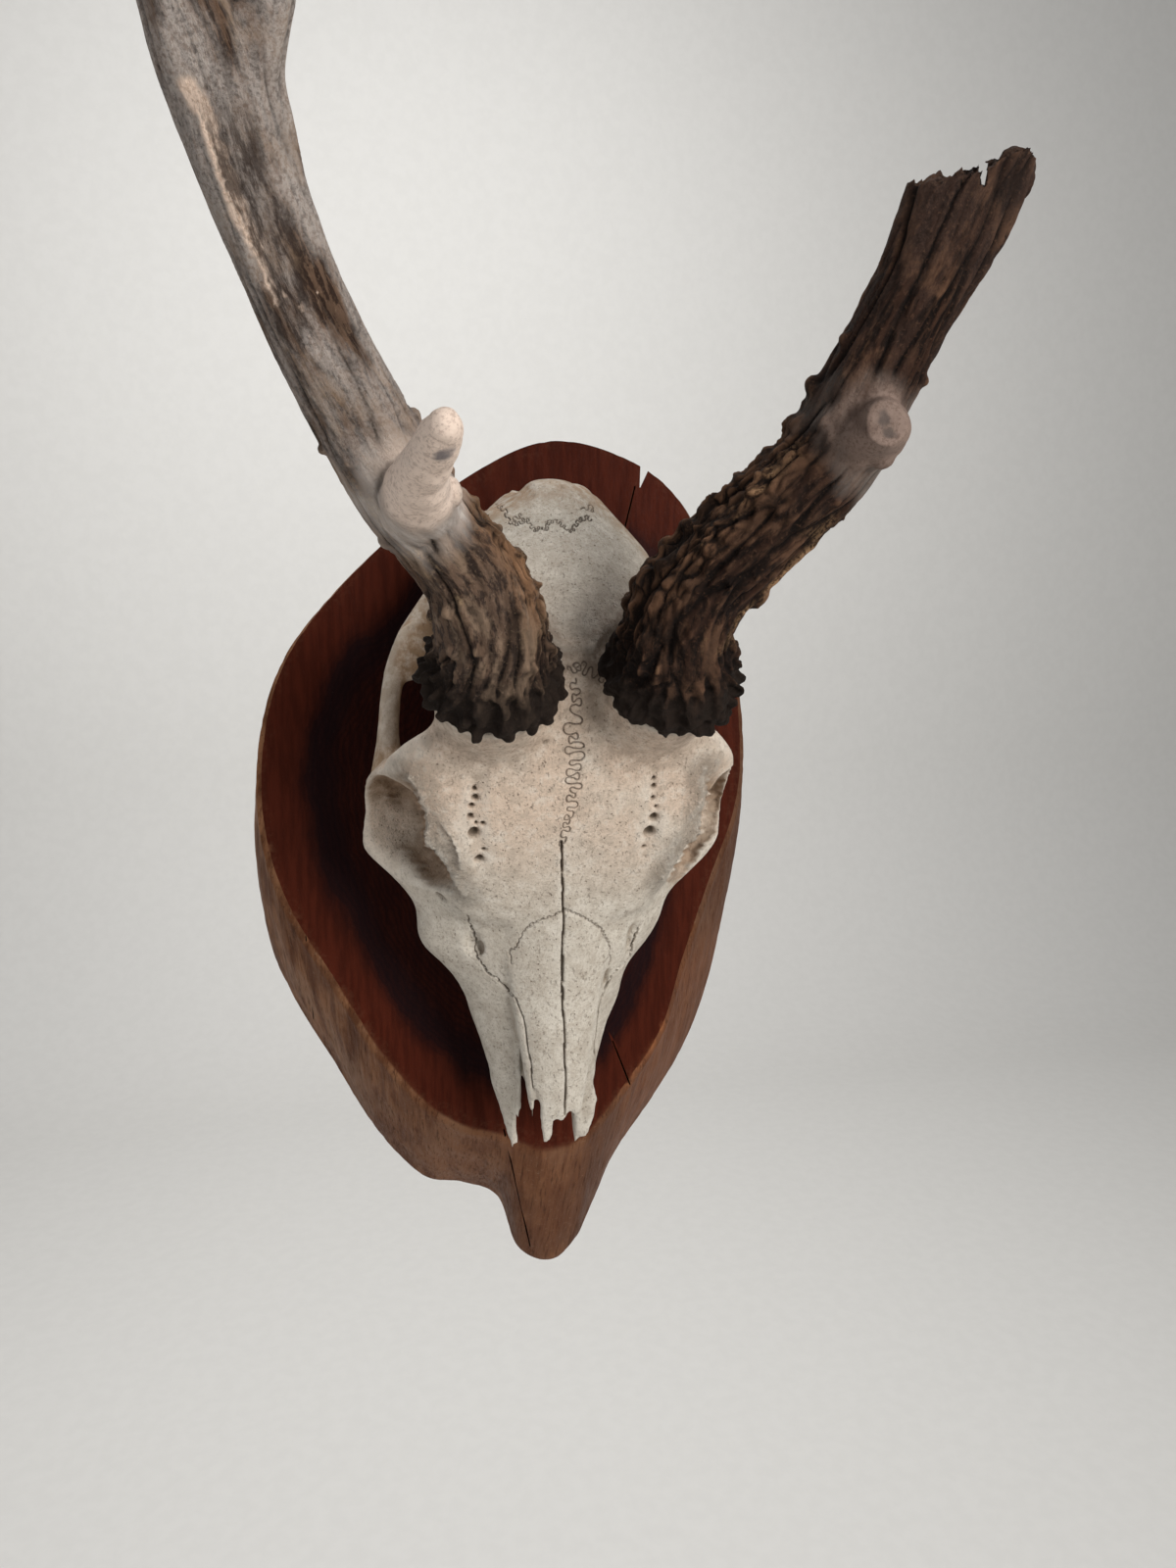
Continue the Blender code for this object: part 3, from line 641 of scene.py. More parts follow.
# Each line with half of its width and its depth, in millimetres, and how dark it is
furrows = [
    (meander(CROWN_SUTURE, 10.0, 1), 0.24, 0.38, 1.0),
    (meander(BROW_SUTURE, 7.0, 2), 0.22, 0.32, 0.9),
    (meander(NECK_SUTURE, 5.0, 3), 0.19, 0.45, 0.95),
    (meander(NECK_SPUR_LEFT, 5.0, 13), 0.18, 0.4, 0.6),
    (meander(NECK_SPUR_RIGHT, 5.0, 14), 0.18, 0.4, 0.7),
    (ragged(MIDLINE_CRACK, 40, 0.9, 4), 0.3, 1.5, 1.0),
    (ragged(NOSE_ROOT_LEFT, 6, 0.9, 5), 0.2, 0.5, 0.8),
    (ragged(NOSE_ROOT_RIGHT, 5, 1.1, 6), 0.2, 0.5, 0.8),
    (ragged(NOSE_SIDE_LEFT, 30, 0.8, 7), 0.26, 1.0, 0.8),
    (ragged(NOSE_SIDE_RIGHT, 30, 0.8, 8), 0.28, 1.2, 0.8),
    (ragged(CHEEK_SEAM_LEFT, 9, 1.3, 9), 0.26, 1.0, 0.8),
    (ragged(CHEEK_SEAM_RIGHT, 9, 1.0, 10), 0.3, 1.2, 0.8),
]
furrows = [(smooth_curve(laid_on(skin, line), len(line) * 3), *rest) for line, *rest in furrows]
print(len(furrows), "lines laid on the bone")

# %% [markdown]
# A furrow thinner than the net's faces can't be cut, so the faces along each line are divided first.
# Between the eyes, nerves came out through pits, which lie in a shallow trough on each side.


# %% A finer net along lines
def divide_near(piece, lines, reach):
    """Divides the faces that lie within reach of the lines."""
    places = points_of(piece)
    close = np.zeros(len(places), bool)
    for line in lines:
        close |= nearest(places, line, reach)[0] < reach
    choose(piece, "VERT", piece.data.vertices, close)
    bpy.ops.mesh.select_mode(type="VERT")
    bpy.ops.mesh.select_mode(type="FACE")
    bpy.ops.mesh.subdivide(number_cuts=1, ngon=False)
    bpy.ops.object.mode_set(mode="OBJECT")


# %% Pits for the nerves, in shallow troughs over the eyes
# Each pit is (x, y, radius) in pixels
PITS = (
    (484, 806, 2.2), (485, 815, 3.0), (481, 823, 2.6), (480, 834, 2.8), (493, 841, 2.4), (486, 841, 1.8),
    (484, 851, 5.0), (494, 868, 2.2), (489, 878, 4.2), (668, 795, 1.8), (668, 803, 2.4), (667, 815, 2.2),
    (670, 824, 1.6), (668, 835, 4.2), (663, 850, 5.4), (657, 865, 2.2),
)  # fmt: skip
TROUGH_LEFT = ((487, 796), (485, 820), (486, 850), (491, 880))
TROUGH_RIGHT = ((669, 788), (669, 820), (665, 855), (658, 872))
# Holes, darkened with painted shade, as (x, y, radius, depth in millimetres)
HOLES = ((449, 914, 5.5, 2.4), (453, 917, 4.0, 2.0), (557, 757, 3.0, 0.6))
pit_places = laid_on(skin, [pit[:2] for pit in PITS])
hole_places = laid_on(skin, [hole[:2] for hole in HOLES])
troughs = [laid_on(skin, smooth_curve(t, 60)) for t in (TROUGH_LEFT, TROUGH_RIGHT)]
fine_lines = [furrow[0] for furrow in furrows] + [pit_places]
brow_edges = [laid_on(skin, smooth_curve(edge, 160)) for edge in (LEFT_SHELF, RIGHT_SHELF)]
divide_near(skull, fine_lines + brow_edges, 1.6 * MM)
divide_near(skull, fine_lines[:-1] + brow_edges, 0.8 * MM)
divide_near(skull, fine_lines[:5], 0.42 * MM)
print("skull net after dividing", len(skull.data.polygons), "faces")

# %% Cut them into the bone
pixel_at_skull = (looked_at - camera.location).length / pixels_per_slope * 1.05
places = points_of(skull)
# The brow shelves melt into the brow, and the left point of the jaw stands a little further in
for edge_line, side in ((LEFT_SHELF, -1), (RIGHT_SHELF, 1)):
    away, _ = nearest(places, laid_on(skin, [(x - side * 25, y) for x, y in edge_line]), 16 * MM)
    on_top = ease(0.3, 0.7, -points_of(skull, "normal")[:, 1])
    melt = (1 - ease(3.5 * MM, 6 * MM, away)) * on_top
    places += (neighbours_mean(skull, 30)(places) - places) * melt[:, None] * 0.8
jaw_point = ease(-95 * MM, -135 * MM, places[:, 2]) * ease(-9 * MM, -14 * MM, places[:, 0])
places[:, 0] += jaw_point * 2.4 * MM
inward = neighbours_mean(skull, 4)(-points_of(skull, "normal"))
inward /= np.linalg.norm(inward, axis=1)[:, None]
cut = np.zeros(len(places))
seams_and_hole_shade = np.zeros(len(places))
for line, half, depth, dark in furrows:
    away, _ = nearest(places, line, 2 * MM)
    shape = 1 - ease(0.35 * half * MM, 1.5 * half * MM, away)
    cut = np.maximum(cut, shape * depth * MM)
    seams_and_hole_shade = np.maximum(seams_and_hole_shade, (1 - ease(0.45 * half * MM, 1.25 * half * MM, away)) * dark)
pitted = np.zeros(len(places))
for place, (_, _, radius) in zip(pit_places, PITS):
    away = apart(places, place) / (radius * 1.25 * pixel_at_skull)
    shape = 1 - ease(0.55, 1.15, away)
    cut = np.maximum(cut, shape * (0.7 * MM + radius * pixel_at_skull * 1.1))
    pitted = np.maximum(pitted, 1 - ease(0.5, 1.05, away))
# The holes are cut in, and painted shade darkens them through the same number as the sutures
for place, (_, _, radius, depth) in zip(hole_places, HOLES):
    away = apart(places, place) / (radius * pixel_at_skull)
    cut = np.maximum(cut, (1 - ease(0.5, 1.2, away)) * depth * MM)
    seams_and_hole_shade = np.maximum(seams_and_hole_shade, (1 - ease(0.3, 1.2, away)) * 0.45)
for trough in troughs:
    away, _ = nearest(places, trough, 6 * MM)
    cut += (1 - ease(0.0, 3.4 * MM, away)) * 0.7 * MM
move_points(skull, places + inward * cut[:, None])
give(skull, "seams_and_hole_shade", seams_and_hole_shade)
give(skull, "pitted", pitted)
print("deepest cut", round(cut.max() / MM, 1), "mm")

# %% [markdown]
# Behind the ragged edge of each brow the socket drops away steeply. The bone outside the edge is
# pushed back along the line of sight, so that the step follows the teeth that the photograph shows.

# %% Sink the sockets behind the brow edges
places = points_of(skull)
column, row = pixels_of(places)
line_of_sight = places - np.array(camera.location)
line_of_sight /= np.linalg.norm(line_of_sight, axis=1)[:, None]
teeth = 1.5 * np.sin(row * 0.82) + 1.3 * np.sin(row * 0.47 + 1.3)
in_front = ease(36 * MM, 41 * MM, log_face - places[:, 1])
sunk = np.zeros(len(places))
push = np.zeros(len(places))
# Each brow edge with its side, its depth in millimetres and the pixels where the push fades and ends
SOCKET_EDGES = ((LEFT_SHELF, -1, 3.4, (16, 36)), (RIGHT_SHELF, 1, 4.4, (9, 21)))
for edge_line, side, depth, (fades, ends) in SOCKET_EDGES:
    edge_rows = np.array(sorted(edge_line, key=lambda pixel: pixel[1]), float)
    beyond = (column - np.interp(row, edge_rows[:, 1], edge_rows[:, 0])) * side + teeth
    inside = ease(0.0, 2.6, beyond) * (1 - ease(fades, ends, beyond)) * in_front
    inside *= ease(784, 802, row) * (1 - ease(892, 912, row))
    sunk = np.maximum(sunk, inside)
    push = np.maximum(push, inside * depth)
move_points(skull, places + line_of_sight * (push * MM)[:, None])
print("sockets sunk up to", round(push.max(), 1), "mm")

# %% [markdown]
# Bone is never quite even. Long low swells give the skull its soft highlights, and where the brow
# meets the socket the edge is a lace of small notches.

# %% Roughen the brow edges and swell the surface
places = points_of(skull)
outward = points_of(skull, "normal")
swell = wander(places, 9 * MM, 1) * 0.16 + wander(places, 3.2 * MM, 2) * 0.07
lace = np.zeros(len(places))
for shelf_edge, inset_by in ((LEFT_SHELF, 3), (RIGHT_SHELF, -3)):
    line = laid_on(skin, [(x + inset_by, y) for x, y in smooth_curve(shelf_edge, 160)])
    away, _ = nearest(places, line, 12 * MM)
    lace = np.maximum(lace, 1 - ease(0.8 * MM, 8 * MM, away))
notches = wander(places, 1.5 * MM, 3) * 0.4 + wander(places, 0.9 * MM, 4) * 0.35
move_points(skull, places + outward * ((swell + notches * lace) * MM)[:, None])
give(skull, "lace", lace)

# %% Mark the sockets, where shade is painted, and the stained bone behind the burrs
# The right socket's middle, as across, over the log and up, and the way it opens
ORBIT_PLACE = Vector((45.0, 56.3, -16.5)) * MM
ORBIT_WAY = Vector((0.76, -0.46, -0.45)).normalized()
socket = np.zeros(len(places))
stain = np.zeros(len(places))
places = points_of(skull)
for side in (-1, 1):
    centre = np.array((side * ORBIT_PLACE.x, log_face - ORBIT_PLACE.y, ORBIT_PLACE.z))
    way = np.array((side * ORBIT_WAY.x, ORBIT_WAY.y, ORBIT_WAY.z))
    spoke = places - centre
    depth = -(spoke @ way)
    out = np.linalg.norm(spoke + depth[:, None] * way, axis=1)
    facing_out = ease(-0.2, 0.5, points_of(skull, "normal") @ way)
    bowl = ease(0.5 * MM, 5 * MM, depth) * (1 - ease(19.8 * MM, 21.2 * MM, out)) * (depth < 21 * MM)
    bowl *= 1 - ease(0.72, 0.88, -points_of(skull, "normal")[:, 1])
    socket = np.maximum(socket, bowl * np.maximum(facing_out, ease(4 * MM, 9 * MM, depth)))
    foot = np.array((side * 24.5 * MM, log_face - 80 * MM, 27 * MM))
    stain = np.maximum(stain, 1 - ease(19 * MM, 34 * MM, apart(places, foot)))
# The socket number says where the eye sockets get painted shade, more of it deeper in
give(skull, "socket", np.maximum(socket, sunk * 0.75))
give(skull, "stain", stain)

# %% [markdown]
# The material darkens the hollows with painted shade and pales what stands proud with a painted
# highlight, so it needs to know which is which. After that the net can be thinned where it is flat,
# which keeps the file small.

# %% Store where the bone is hollow, then thin the net where it is flat
give(skull, "proud", np.clip(proudness(skull, 14), -1.0, 1.0))
MOST_TRIANGLES = 190_000


def thin(piece):
    """Thins a skin to the most triangles that a piece may have, mostly where it is flat."""
    triangles = sum(len(face.vertices) - 2 for face in piece.data.polygons)
    if triangles > MOST_TRIANGLES:
        modify(piece, "DECIMATE", ratio=MOST_TRIANGLES / triangles)
    piece.data.shade_smooth()
    print(piece.name, triangles, "triangles, thinned to", len(piece.data.polygons))


thin(skull)

# %% [markdown]
# ## Antler: beams, pearls and furrows
#
# Antler grows as bone under a skin of velvet, whose blood vessels leave long furrows. Beads of bone,
# which hunters call pearls, crowd near its foot, and a crown of them, the burr, sits on the skull. Each
# beam has a line through its middle. A point of the skin then has two numbers that belong to antler
# and not to space: how far along the beam it lies and how far round it. Furrows and stains follow
# those two.

# %% The middle lines of beams and tines
# Places along each beam in millimetres from its foot, as (across, up, out of the wall)
LEFT_BEAM = (
    (0, 0, 0), (-1.5, 15.5, 17), (-7.6, 28.4, 27), (-16.7, 38, 35), (-25.4, 47.1, 41), (-40.4, 70.5, 56),
    (-47.8, 86.5, 63), (-52.7, 99.5, 69), (-56.8, 113, 76), (-62, 126, 84), (-68, 143, 93), (-72, 162, 104),
    (-72.5, 180, 118), (-69, 194, 133),
)  # fmt: skip
RIGHT_BEAM = (
    (0, 0, 0), (-2, 15.5, 16), (1.3, 25, 22), (9.5, 35, 28), (21.5, 47.5, 36), (29, 57, 40), (38, 80, 50),
    (43.5, 92, 54), (46.8, 101, 56.8), (49.5, 108.5, 59), (58, 125, 63),
)  # fmt: skip
LEFT_BROW_TINE = ((-22, 43, 50), (-22.5, 45, 70), (-21, 48.5, 84), (-19.5, 51, 95))
RIGHT_STUB = ((36, 60, 46), (34.5, 60, 53), (31.5, 60, 63))
FOOT = Vector((24.5, 29.0, 90.3))
SEAT_FACING = Vector((0.04, -0.775, 0.63)).normalized()
BURR_RADIUS = 19.7 * MM


class Beam:
    """A beam's or tine's middle line, with its length and two directions across it at each step."""

    def __init__(self, side, rows, worn_off=0.0):
        # How much of the tine's end is worn off flat
        self.worn_off = worn_off
        foot = Vector((side * FOOT.x * MM, log_face - FOOT.z * MM, FOOT.y * MM))
        places = [foot + Vector((x, -out, up)) * MM for x, up, out in rows]
        self.side = side
        self.line = smooth_curve(places, 40 * len(rows))
        step = np.gradient(self.line, axis=0)
        self.along = np.r_[0.0, np.cumsum(np.linalg.norm(np.diff(self.line, axis=0), axis=1))]
        self.ahead = step / np.linalg.norm(step, axis=1)[:, None]
        across = np.cross(self.ahead, np.array(OUT_OF_WALL))
        self.across = across / np.linalg.norm(across, axis=1)[:, None]
        self.lift = np.cross(self.across, self.ahead)

    def read(self, places):
        """Each place's distance from the line, its way along it and the angle round it."""
        away, which = nearest(places, self.line, 60 * MM)
        spoke = places - self.line[which]
        angle = np.arctan2((spoke * self.lift[which]).sum(1), (spoke * self.across[which]).sum(1))
        return away, self.along[which], angle

    def at(self, along, angle):
        """The middle line's place at a length, and the direction outwards at an angle."""
        k = min(int(np.searchsorted(self.along, along)), len(self.line) - 1)
        way = self.across[k] * math.cos(angle) + self.lift[k] * math.sin(angle)
        return Vector(self.line[k]), Vector(way), Vector(self.ahead[k])


# %% [markdown]
# A pearl is a small squashed ball that sits half in the beam. One ball is added and shaped, and each
# pearl is a copy of it, turned to lie on the skin where a ray from the middle line comes out. The voxel
# net then fuses them all, which leaves the soft creases of the real ones.

# %% One bead, and its copies
bpy.ops.mesh.primitive_ico_sphere_add(subdivisions=2, radius=1.0)
bead = bpy.context.object
bead_points = points_of(bead)
bead_faces = np.array([tuple(face.vertices) for face in bead.data.polygons])
bpy.data.objects.remove(bead)


def strung_beads(name, beads):
    """Copies of the bead as one object. Each is (centre, way out, way up, three radii)."""
    points, faces = [], []
    for centre, out, up, (reach, tall, wide) in beads:
        side = out.cross(up).normalized()
        up = side.cross(out)
        shape = np.array([out * reach, up * tall, side * wide])
        faces.append(bead_faces + len(points) * len(bead_points))
        points.append(bead_points @ shape + np.array(centre))
    return new_piece(name, np.concatenate(points), np.concatenate(faces).tolist())


# %% [markdown]
# The burr is a crown of knobs, in rows round the foot. Above it the pearls are strewn, many of them near
# the foot and few higher up.

# %% Knobs of the burr, and pearls
# Rows of the burr: knobs in the row, height over the seat, reach as a share of the radius, knob size
BURR_ROWS = ((24, 2.3, 1.03, 2.9), (23, 6.2, 1.02, 2.8), (20, 10.0, 0.93, 2.4), (17, 13.8, 0.83, 2.0))


def burr_beads(beam, dice):
    """Knobs and plates in rows round the foot, larger and flatter on the outer side."""
    seat = Vector(beam.line[0])
    side = SEAT_FACING.cross(OUT_OF_WALL).normalized()
    lift = side.cross(SEAT_FACING)
    beads = []
    for row, (count, height, reach, size) in enumerate(BURR_ROWS):
        for k in range(count):
            angle = 2 * math.pi * (k + dice.uniform(-0.3, 0.3) + 0.5 * row) / count
            out = side * math.cos(angle) + lift * math.sin(angle)
            outer = max(0.0, math.cos(angle) * beam.side)
            radius = BURR_RADIUS * (reach + dice.uniform(-0.05, 0.04) + 0.05 * outer)
            knob = size * MM * dice.uniform(0.7, 1.15)
            long = knob * (1.15 + 0.5 * outer)
            centre = seat + SEAT_FACING * (height + dice.uniform(-1.2, 1.2)) * MM + out * (radius - long)
            tilted = (SEAT_FACING + side * dice.uniform(-0.5, 0.5)).normalized()
            radii = (long, knob * dice.uniform(0.9, 1.4), knob * (0.95 - 0.3 * outer))
            beads.append((centre, out, tilted, radii))
    return beads


def pearls(beam, skin, dice, count, reach, crowded, sizes):
    """Pearls on the skin, more of them near the foot and near the crowded angle."""
    beads = []
    while len(beads) < count:
        along = reach * dice.random() ** 1.5
        angle = dice.uniform(-math.pi, math.pi)
        chance = 0.16 + 0.84 * max(0.0, math.cos(angle - crowded)) ** 2
        if along < 22 * MM:
            chance = max(chance, 0.75)
        if dice.random() > chance * (1.0 - 0.6 * along / reach):
            continue
        middle, out, ahead = beam.at(along, angle)
        hit, normal, _, _ = skin.ray_cast(middle, out, 40 * MM)
        if hit is None:
            continue
        size = (sizes[0] + (sizes[1] - sizes[0]) * dice.random() ** 1.6) * MM
        size *= 1.0 - 0.25 * along / reach
        beads.append((hit - normal * size * 0.1, normal, ahead, (size, size * dice.uniform(1.0, 1.8), size)))
    return beads


# %% [markdown]
# Furrows come from noise that is stretched along the beam: where it crosses zero there is a valley, so
# the valleys make a net of long lines that join and part, as the vessels did.


# %% Furrow the skin of an antler
def furrow_depth(along, angle, reach, seed):
    """Depth from 0 to 1 of the vessels' furrows at these lengths and angles."""
    twist = angle + along * 5.0
    ring = np.stack([np.cos(twist), np.sin(twist), along / reach], axis=1)
    broad = np.abs(wander(ring * np.array((1.9, 1.9, 1.0)), 1.0, seed))
    narrow = np.abs(wander(ring * np.array((4.2, 4.2, 2.2)), 1.0, seed + 1))
    return np.clip(1 - broad / 0.17, 0, 1) ** 1.3, np.clip(1 - narrow / 0.2, 0, 1)


def pebbles(places, size):
    """1 on top of round cells about as wide as size, and 0 in the creases between them."""
    near = np.array([noise.voronoi(point)[0][:2] for point in places / size])
    return ease(0.02, 0.42, near[:, 1] - near[:, 0])


# %% [markdown]
# Dressing an antler goes in the order of its life: beads grow on it, a net is laid over them, tines are
# worn down, and furrows, pebbles and swells are cut in. What the material needs is stored on the points.

# %% Dress an antler
ANTLER_NET = 0.5 * MM


def dressed_antler(node, name, beam, tines, beads, deep, crowded, seed):
    """An antler's skin with its beads fused on, its furrows cut and its places stored for the material."""
    antler = merged_copy(node, name)
    rounded(antler, sharp_angle=62, crease=0.5)
    # The burr's body draws in, so that creases stay open between its knobs
    places = points_of(antler)
    spoke = places - beam.line[0]
    height = spoke @ np.array(SEAT_FACING)
    spoke -= height[:, None] * np.array(SEAT_FACING)
    wide = np.linalg.norm(spoke, axis=1)
    in_burr = ease(0.2 * MM, 1.5 * MM, height) * (1 - ease(9 * MM, 14 * MM, height))
    too_wide = np.maximum(0, wide - 17.3 * MM) * in_burr * (height < 20 * MM) * (wide < 26 * MM)
    move_points(antler, places - spoke * (too_wide / np.maximum(wide, MM))[:, None])
    skin = skin_tree(antler)
    pick(antler, strung_beads(name + " beads", beads(skin)))
    bpy.ops.object.join()
    modify(antler, "REMESH", mode="VOXEL", voxel_size=ANTLER_NET)
    modify(antler, "SMOOTH", factor=0.5, iterations=2)
    places = points_of(antler)
    away, along, angle = beam.read(places)
    # A point belongs to a tine where it lies nearer to the tine's line than to the beam's
    on_tine = np.zeros(len(places))
    skirt = np.zeros(len(places))
    patchy = wander(places, 7 * MM, seed + 5) * 5 * MM
    for tine in tines:
        near, up_it, _ = tine.read(places)
        on_tine = np.maximum(on_tine, ease(-3 * MM, 4 * MM, away - near) * ease(1 * MM, 12 * MM, up_it))
        from_root = apart(places, tine.line[0]) + patchy
        skirt = np.maximum(skirt, 1 - ease(8 * MM, 19 * MM, from_root))
        if tine.worn_off:
            rise = (places - tine.line[0]) @ tine.ahead[0]
            top = rise[on_tine > 0.5].max() - tine.worn_off + patchy * 0.16
            places -= tine.ahead[0] * (np.maximum(0, rise - top) * on_tine * 0.92)[:, None]
            mound = np.clip(on_tine + 1.4 * skirt, 0, 1)[:, None]
            places += (neighbours_mean(antler, 12)(places) - places) * mound * 0.8
            print(name, "stub worn down to", round(float(top.mean()) / MM, 1), "mm over its root")
    foot = 1 - ease(8 * MM, 20 * MM, along)
    crowd = np.maximum(0, np.cos(angle - crowded)) ** 1.5 * (1 - ease(0.05, 0.105, along))
    crowd = np.maximum(foot, crowd)
    broad, narrow = furrow_depth(along, angle, 0.04, seed)
    rough = wander(places, 2.4 * MM, seed + 3)
    worn = (1 - on_tine) * (1 - 0.7 * skirt)
    strength = deep(along) * worn
    swell = wander(np.stack([np.cos(angle), np.sin(angle), along / 0.014], axis=1), 0.8, seed + 7)
    stones = pebbles(np.stack([np.cos(angle) * 0.015, np.sin(angle) * 0.015, along * 0.62], axis=1), 2.9 * MM)
    depth = (broad * 1.3 + narrow * 0.55) * strength * (1 - 0.5 * foot)
    depth -= rough * (0.2 + 0.25 * foot) * strength
    depth += (1 - stones) * crowd * worn * (1.0 - 0.55 * foot) - swell * 0.55 * worn
    depth -= on_tine * (wander(places, 5.5 * MM, seed + 8) * 0.7 + wander(places, 1.6 * MM, seed + 9) * 0.12)
    outward = neighbours_mean(antler, 3)(points_of(antler, "normal"))
    move_points(antler, places - outward * (depth * MM)[:, None])
    modify(antler, "SMOOTH", factor=0.3, iterations=1)
    give(antler, "furrow", np.clip(np.maximum(broad + 0.5 * narrow, (1 - stones) * crowd), 0, 1) * strength)
    give(antler, "skirt", skirt * (1 - on_tine))
    give(antler, "proud", np.clip(proudness(antler, 16), -1.5, 1.5))
    give(antler, "grain", np.stack([np.cos(angle) * 0.012, np.sin(angle) * 0.012, along], axis=1))
    give(antler, "tine", on_tine)
    give(antler, "foot", 1 - ease(4 * MM, 26 * MM, along))
    print(name, "net", len(antler.data.polygons), "faces")
    return antler


# %% [markdown]
# Some knobs stand out in the photograph, so they are listed one by one. The others come from seeded dice,
# more of them on the side of each beam where they crowd.

# %% Both antlers
left_beam = Beam(-1, LEFT_BEAM)
right_beam = Beam(1, RIGHT_BEAM)


def knob_at(skin, pixel, height, size):
    """A knob on the skin's nearest place to where a pixel's ray is at a height over the log's face.

    Its radii are in millimetres: out of the skin, up and along it."""
    place, out, _, _ = skin.find_nearest(on_depth(pixel, height))
    reach, tall, wide = (value * MM for value in size)
    up = Vector((0, 0, 1)) if abs(out.z) < 0.8 else Vector((1, 0, 0))
    return place - out * reach * 0.15, out, (up - out * up.dot(out)).normalized(), (reach, tall, wide)


# Knobs that stand out in the photograph, as (pixel, height over the log, radii) in millimetres. The last
# two of the right ones are the worn end of the broken beam
LEFT_KNOBS = (
    ((422, 424), 134, (2.6, 2.6, 2.8)), ((408, 404), 136, (1.6, 2.2, 2.4)),
    ((464, 481), 120, (2.4, 3.0, 3.0)), ((488, 497), 116, (1.8, 2.6, 2.6)),
    ((509, 513), 112, (2.4, 3.0, 3.0)), ((528, 552), 107, (1.9, 2.6, 2.6)),
    ((541, 571), 104, (3.0, 2.4, 3.0)), ((554, 592), 101, (2.2, 3.0, 3.0)),
    ((562, 620), 98, (2.4, 2.8, 2.8)),
)  # fmt: skip
RIGHT_KNOBS = (
    ((632, 610), 103, (2.4, 3.0, 3.0)), ((640, 590), 106, (2.4, 3.2, 3.2)),
    ((655, 570), 109, (2.4, 3.0, 3.2)), ((668, 548), 112, (2.0, 3.0, 3.0)),
    ((690, 528), 116, (2.4, 3.0, 3.0)), ((706, 510), 119, (2.0, 2.6, 2.8)),
    ((722, 500), 121, (2.4, 2.6, 3.0)), ((742, 478), 124, (2.0, 2.6, 2.8)),
    ((770, 452), 128, (1.7, 2.6, 2.6)), ((800, 424), 132, (2.2, 3.0, 2.6)),
    ((1035, 171), 150, (4.4, 5.2, 5.2)), ((1039, 187), 149, (3.2, 5.2, 5.2)),
)  # fmt: skip


def left_beads(skin):
    dice = random.Random(11)
    grown = pearls(left_beam, skin, dice, 170, 0.095, -0.1, (0.9, 2.6))
    return burr_beads(left_beam, dice) + grown + [knob_at(skin, *knob) for knob in LEFT_KNOBS]


def right_beads(skin):
    dice = random.Random(12)
    grown = pearls(right_beam, skin, dice, 230, 0.105, 2.7, (1.0, 2.9))
    return burr_beads(right_beam, dice) + grown + [knob_at(skin, *knob) for knob in RIGHT_KNOBS]


left_antler = dressed_antler(
    "left_antler",
    "left_horn",
    left_beam,
    (Beam(-1, LEFT_BROW_TINE),),
    left_beads,
    lambda along: 0.9 - 0.62 * ease(0.05, 0.13, along),
    -0.1,
    21,
)
right_antler = dressed_antler(
    "right_antler",
    "right_horn",
    right_beam,
    (Beam(1, RIGHT_STUB, worn_off=4.5 * MM),),
    right_beads,
    lambda along: 1.15 - 0.3 * ease(0.07, 0.12, along),
    2.7,
    31,
)

# %% [markdown]
# The right beam was torn off. Its end is a rough slope of splinters: points that face along the beam
# move out and in by noise that hardly changes along the fibres. A cleft parts the splinters from a
# rounded knob at the high side.

# %% Tear the broken end
CLEFT = ((999, 166), (1002, 163), (1008, 166), (1006, 189), (1002, 187))
punch(right_antler, CLEFT, 175, 139)
END_OF_BEAM = 0.128
end = int(np.searchsorted(right_beam.along, END_OF_BEAM))
fibre_way = right_beam.ahead[end]
places = points_of(right_antler)
_, along, _ = right_beam.read(places)
facing_end = ease(0.1, 0.75, points_of(right_antler, "normal") @ fibre_way) * ease(0.105, 0.112, along)
flat_place = places - (places @ fibre_way)[:, None] * fibre_way * 0.85
splinters = wander(flat_place, 3.4 * MM, 41) * 3.0 + wander(flat_place, 1.3 * MM, 42) * 1.6
END_KNOB = np.array(on_depth((1038, 178), 149))
keeps_out = 1 - ease(6 * MM, 9 * MM, apart(places, END_KNOB))
tear = facing_end * (splinters - 0.6) * (1 - keeps_out)
places = places + fibre_way * (tear * MM)[:, None]
places[:, 0] = np.minimum(places[:, 0], cad_box[1][0])
move_points(right_antler, places)
give(right_antler, "torn", facing_end)
give(left_antler, "torn", np.zeros(len(left_antler.data.vertices)))
print("splinters stand out up to", round(tear.max(), 1), "mm")

# %% [markdown]
# Rubbing and handling left their own marks: a pale scrape runs down the left beam with a dark band
# beside it, and the worn tines carry a few dark spots. Each is a number stored on the skin.

# %% The pale scrape on the left beam, where bark was rubbed off it
SCRAPE = (
    (190, 88, 8), (205, 110, 9), (218, 141, 9), (229, 181, 9), (246, 220, 10), (267, 263, 6),
    (283, 309, 3),
)  # fmt: skip
skin = skin_tree(left_antler)
scrape_route = smooth_curve(SCRAPE, 120)
scrape_line = laid_on(skin, scrape_route[:, :2])
pixel_at_scrape = (Vector(scrape_line[60]) - camera.location).length / pixels_per_slope
places = points_of(left_antler)
away, which = nearest(places, scrape_line, 8 * MM)
half = scrape_route[which, 2] * pixel_at_scrape + wander(places, 2.5 * MM, 5) * 1.1 * MM
give(left_antler, "scrape", (1 - ease(half * 0.6, half * 1.1, away)) * (away < 7.9 * MM))
to_the_right = (places - scrape_line[which])[:, 0] > -0.5 * MM
band = (1 - ease(4 * MM, 8 * MM, away - half)) * to_the_right * ease(0.0, 0.4, which / len(scrape_line))
give(left_antler, "beside", band * (away < 7.9 * MM))
for name in ("scrape", "beside"):
    give(right_antler, name, np.zeros(len(right_antler.data.vertices)))
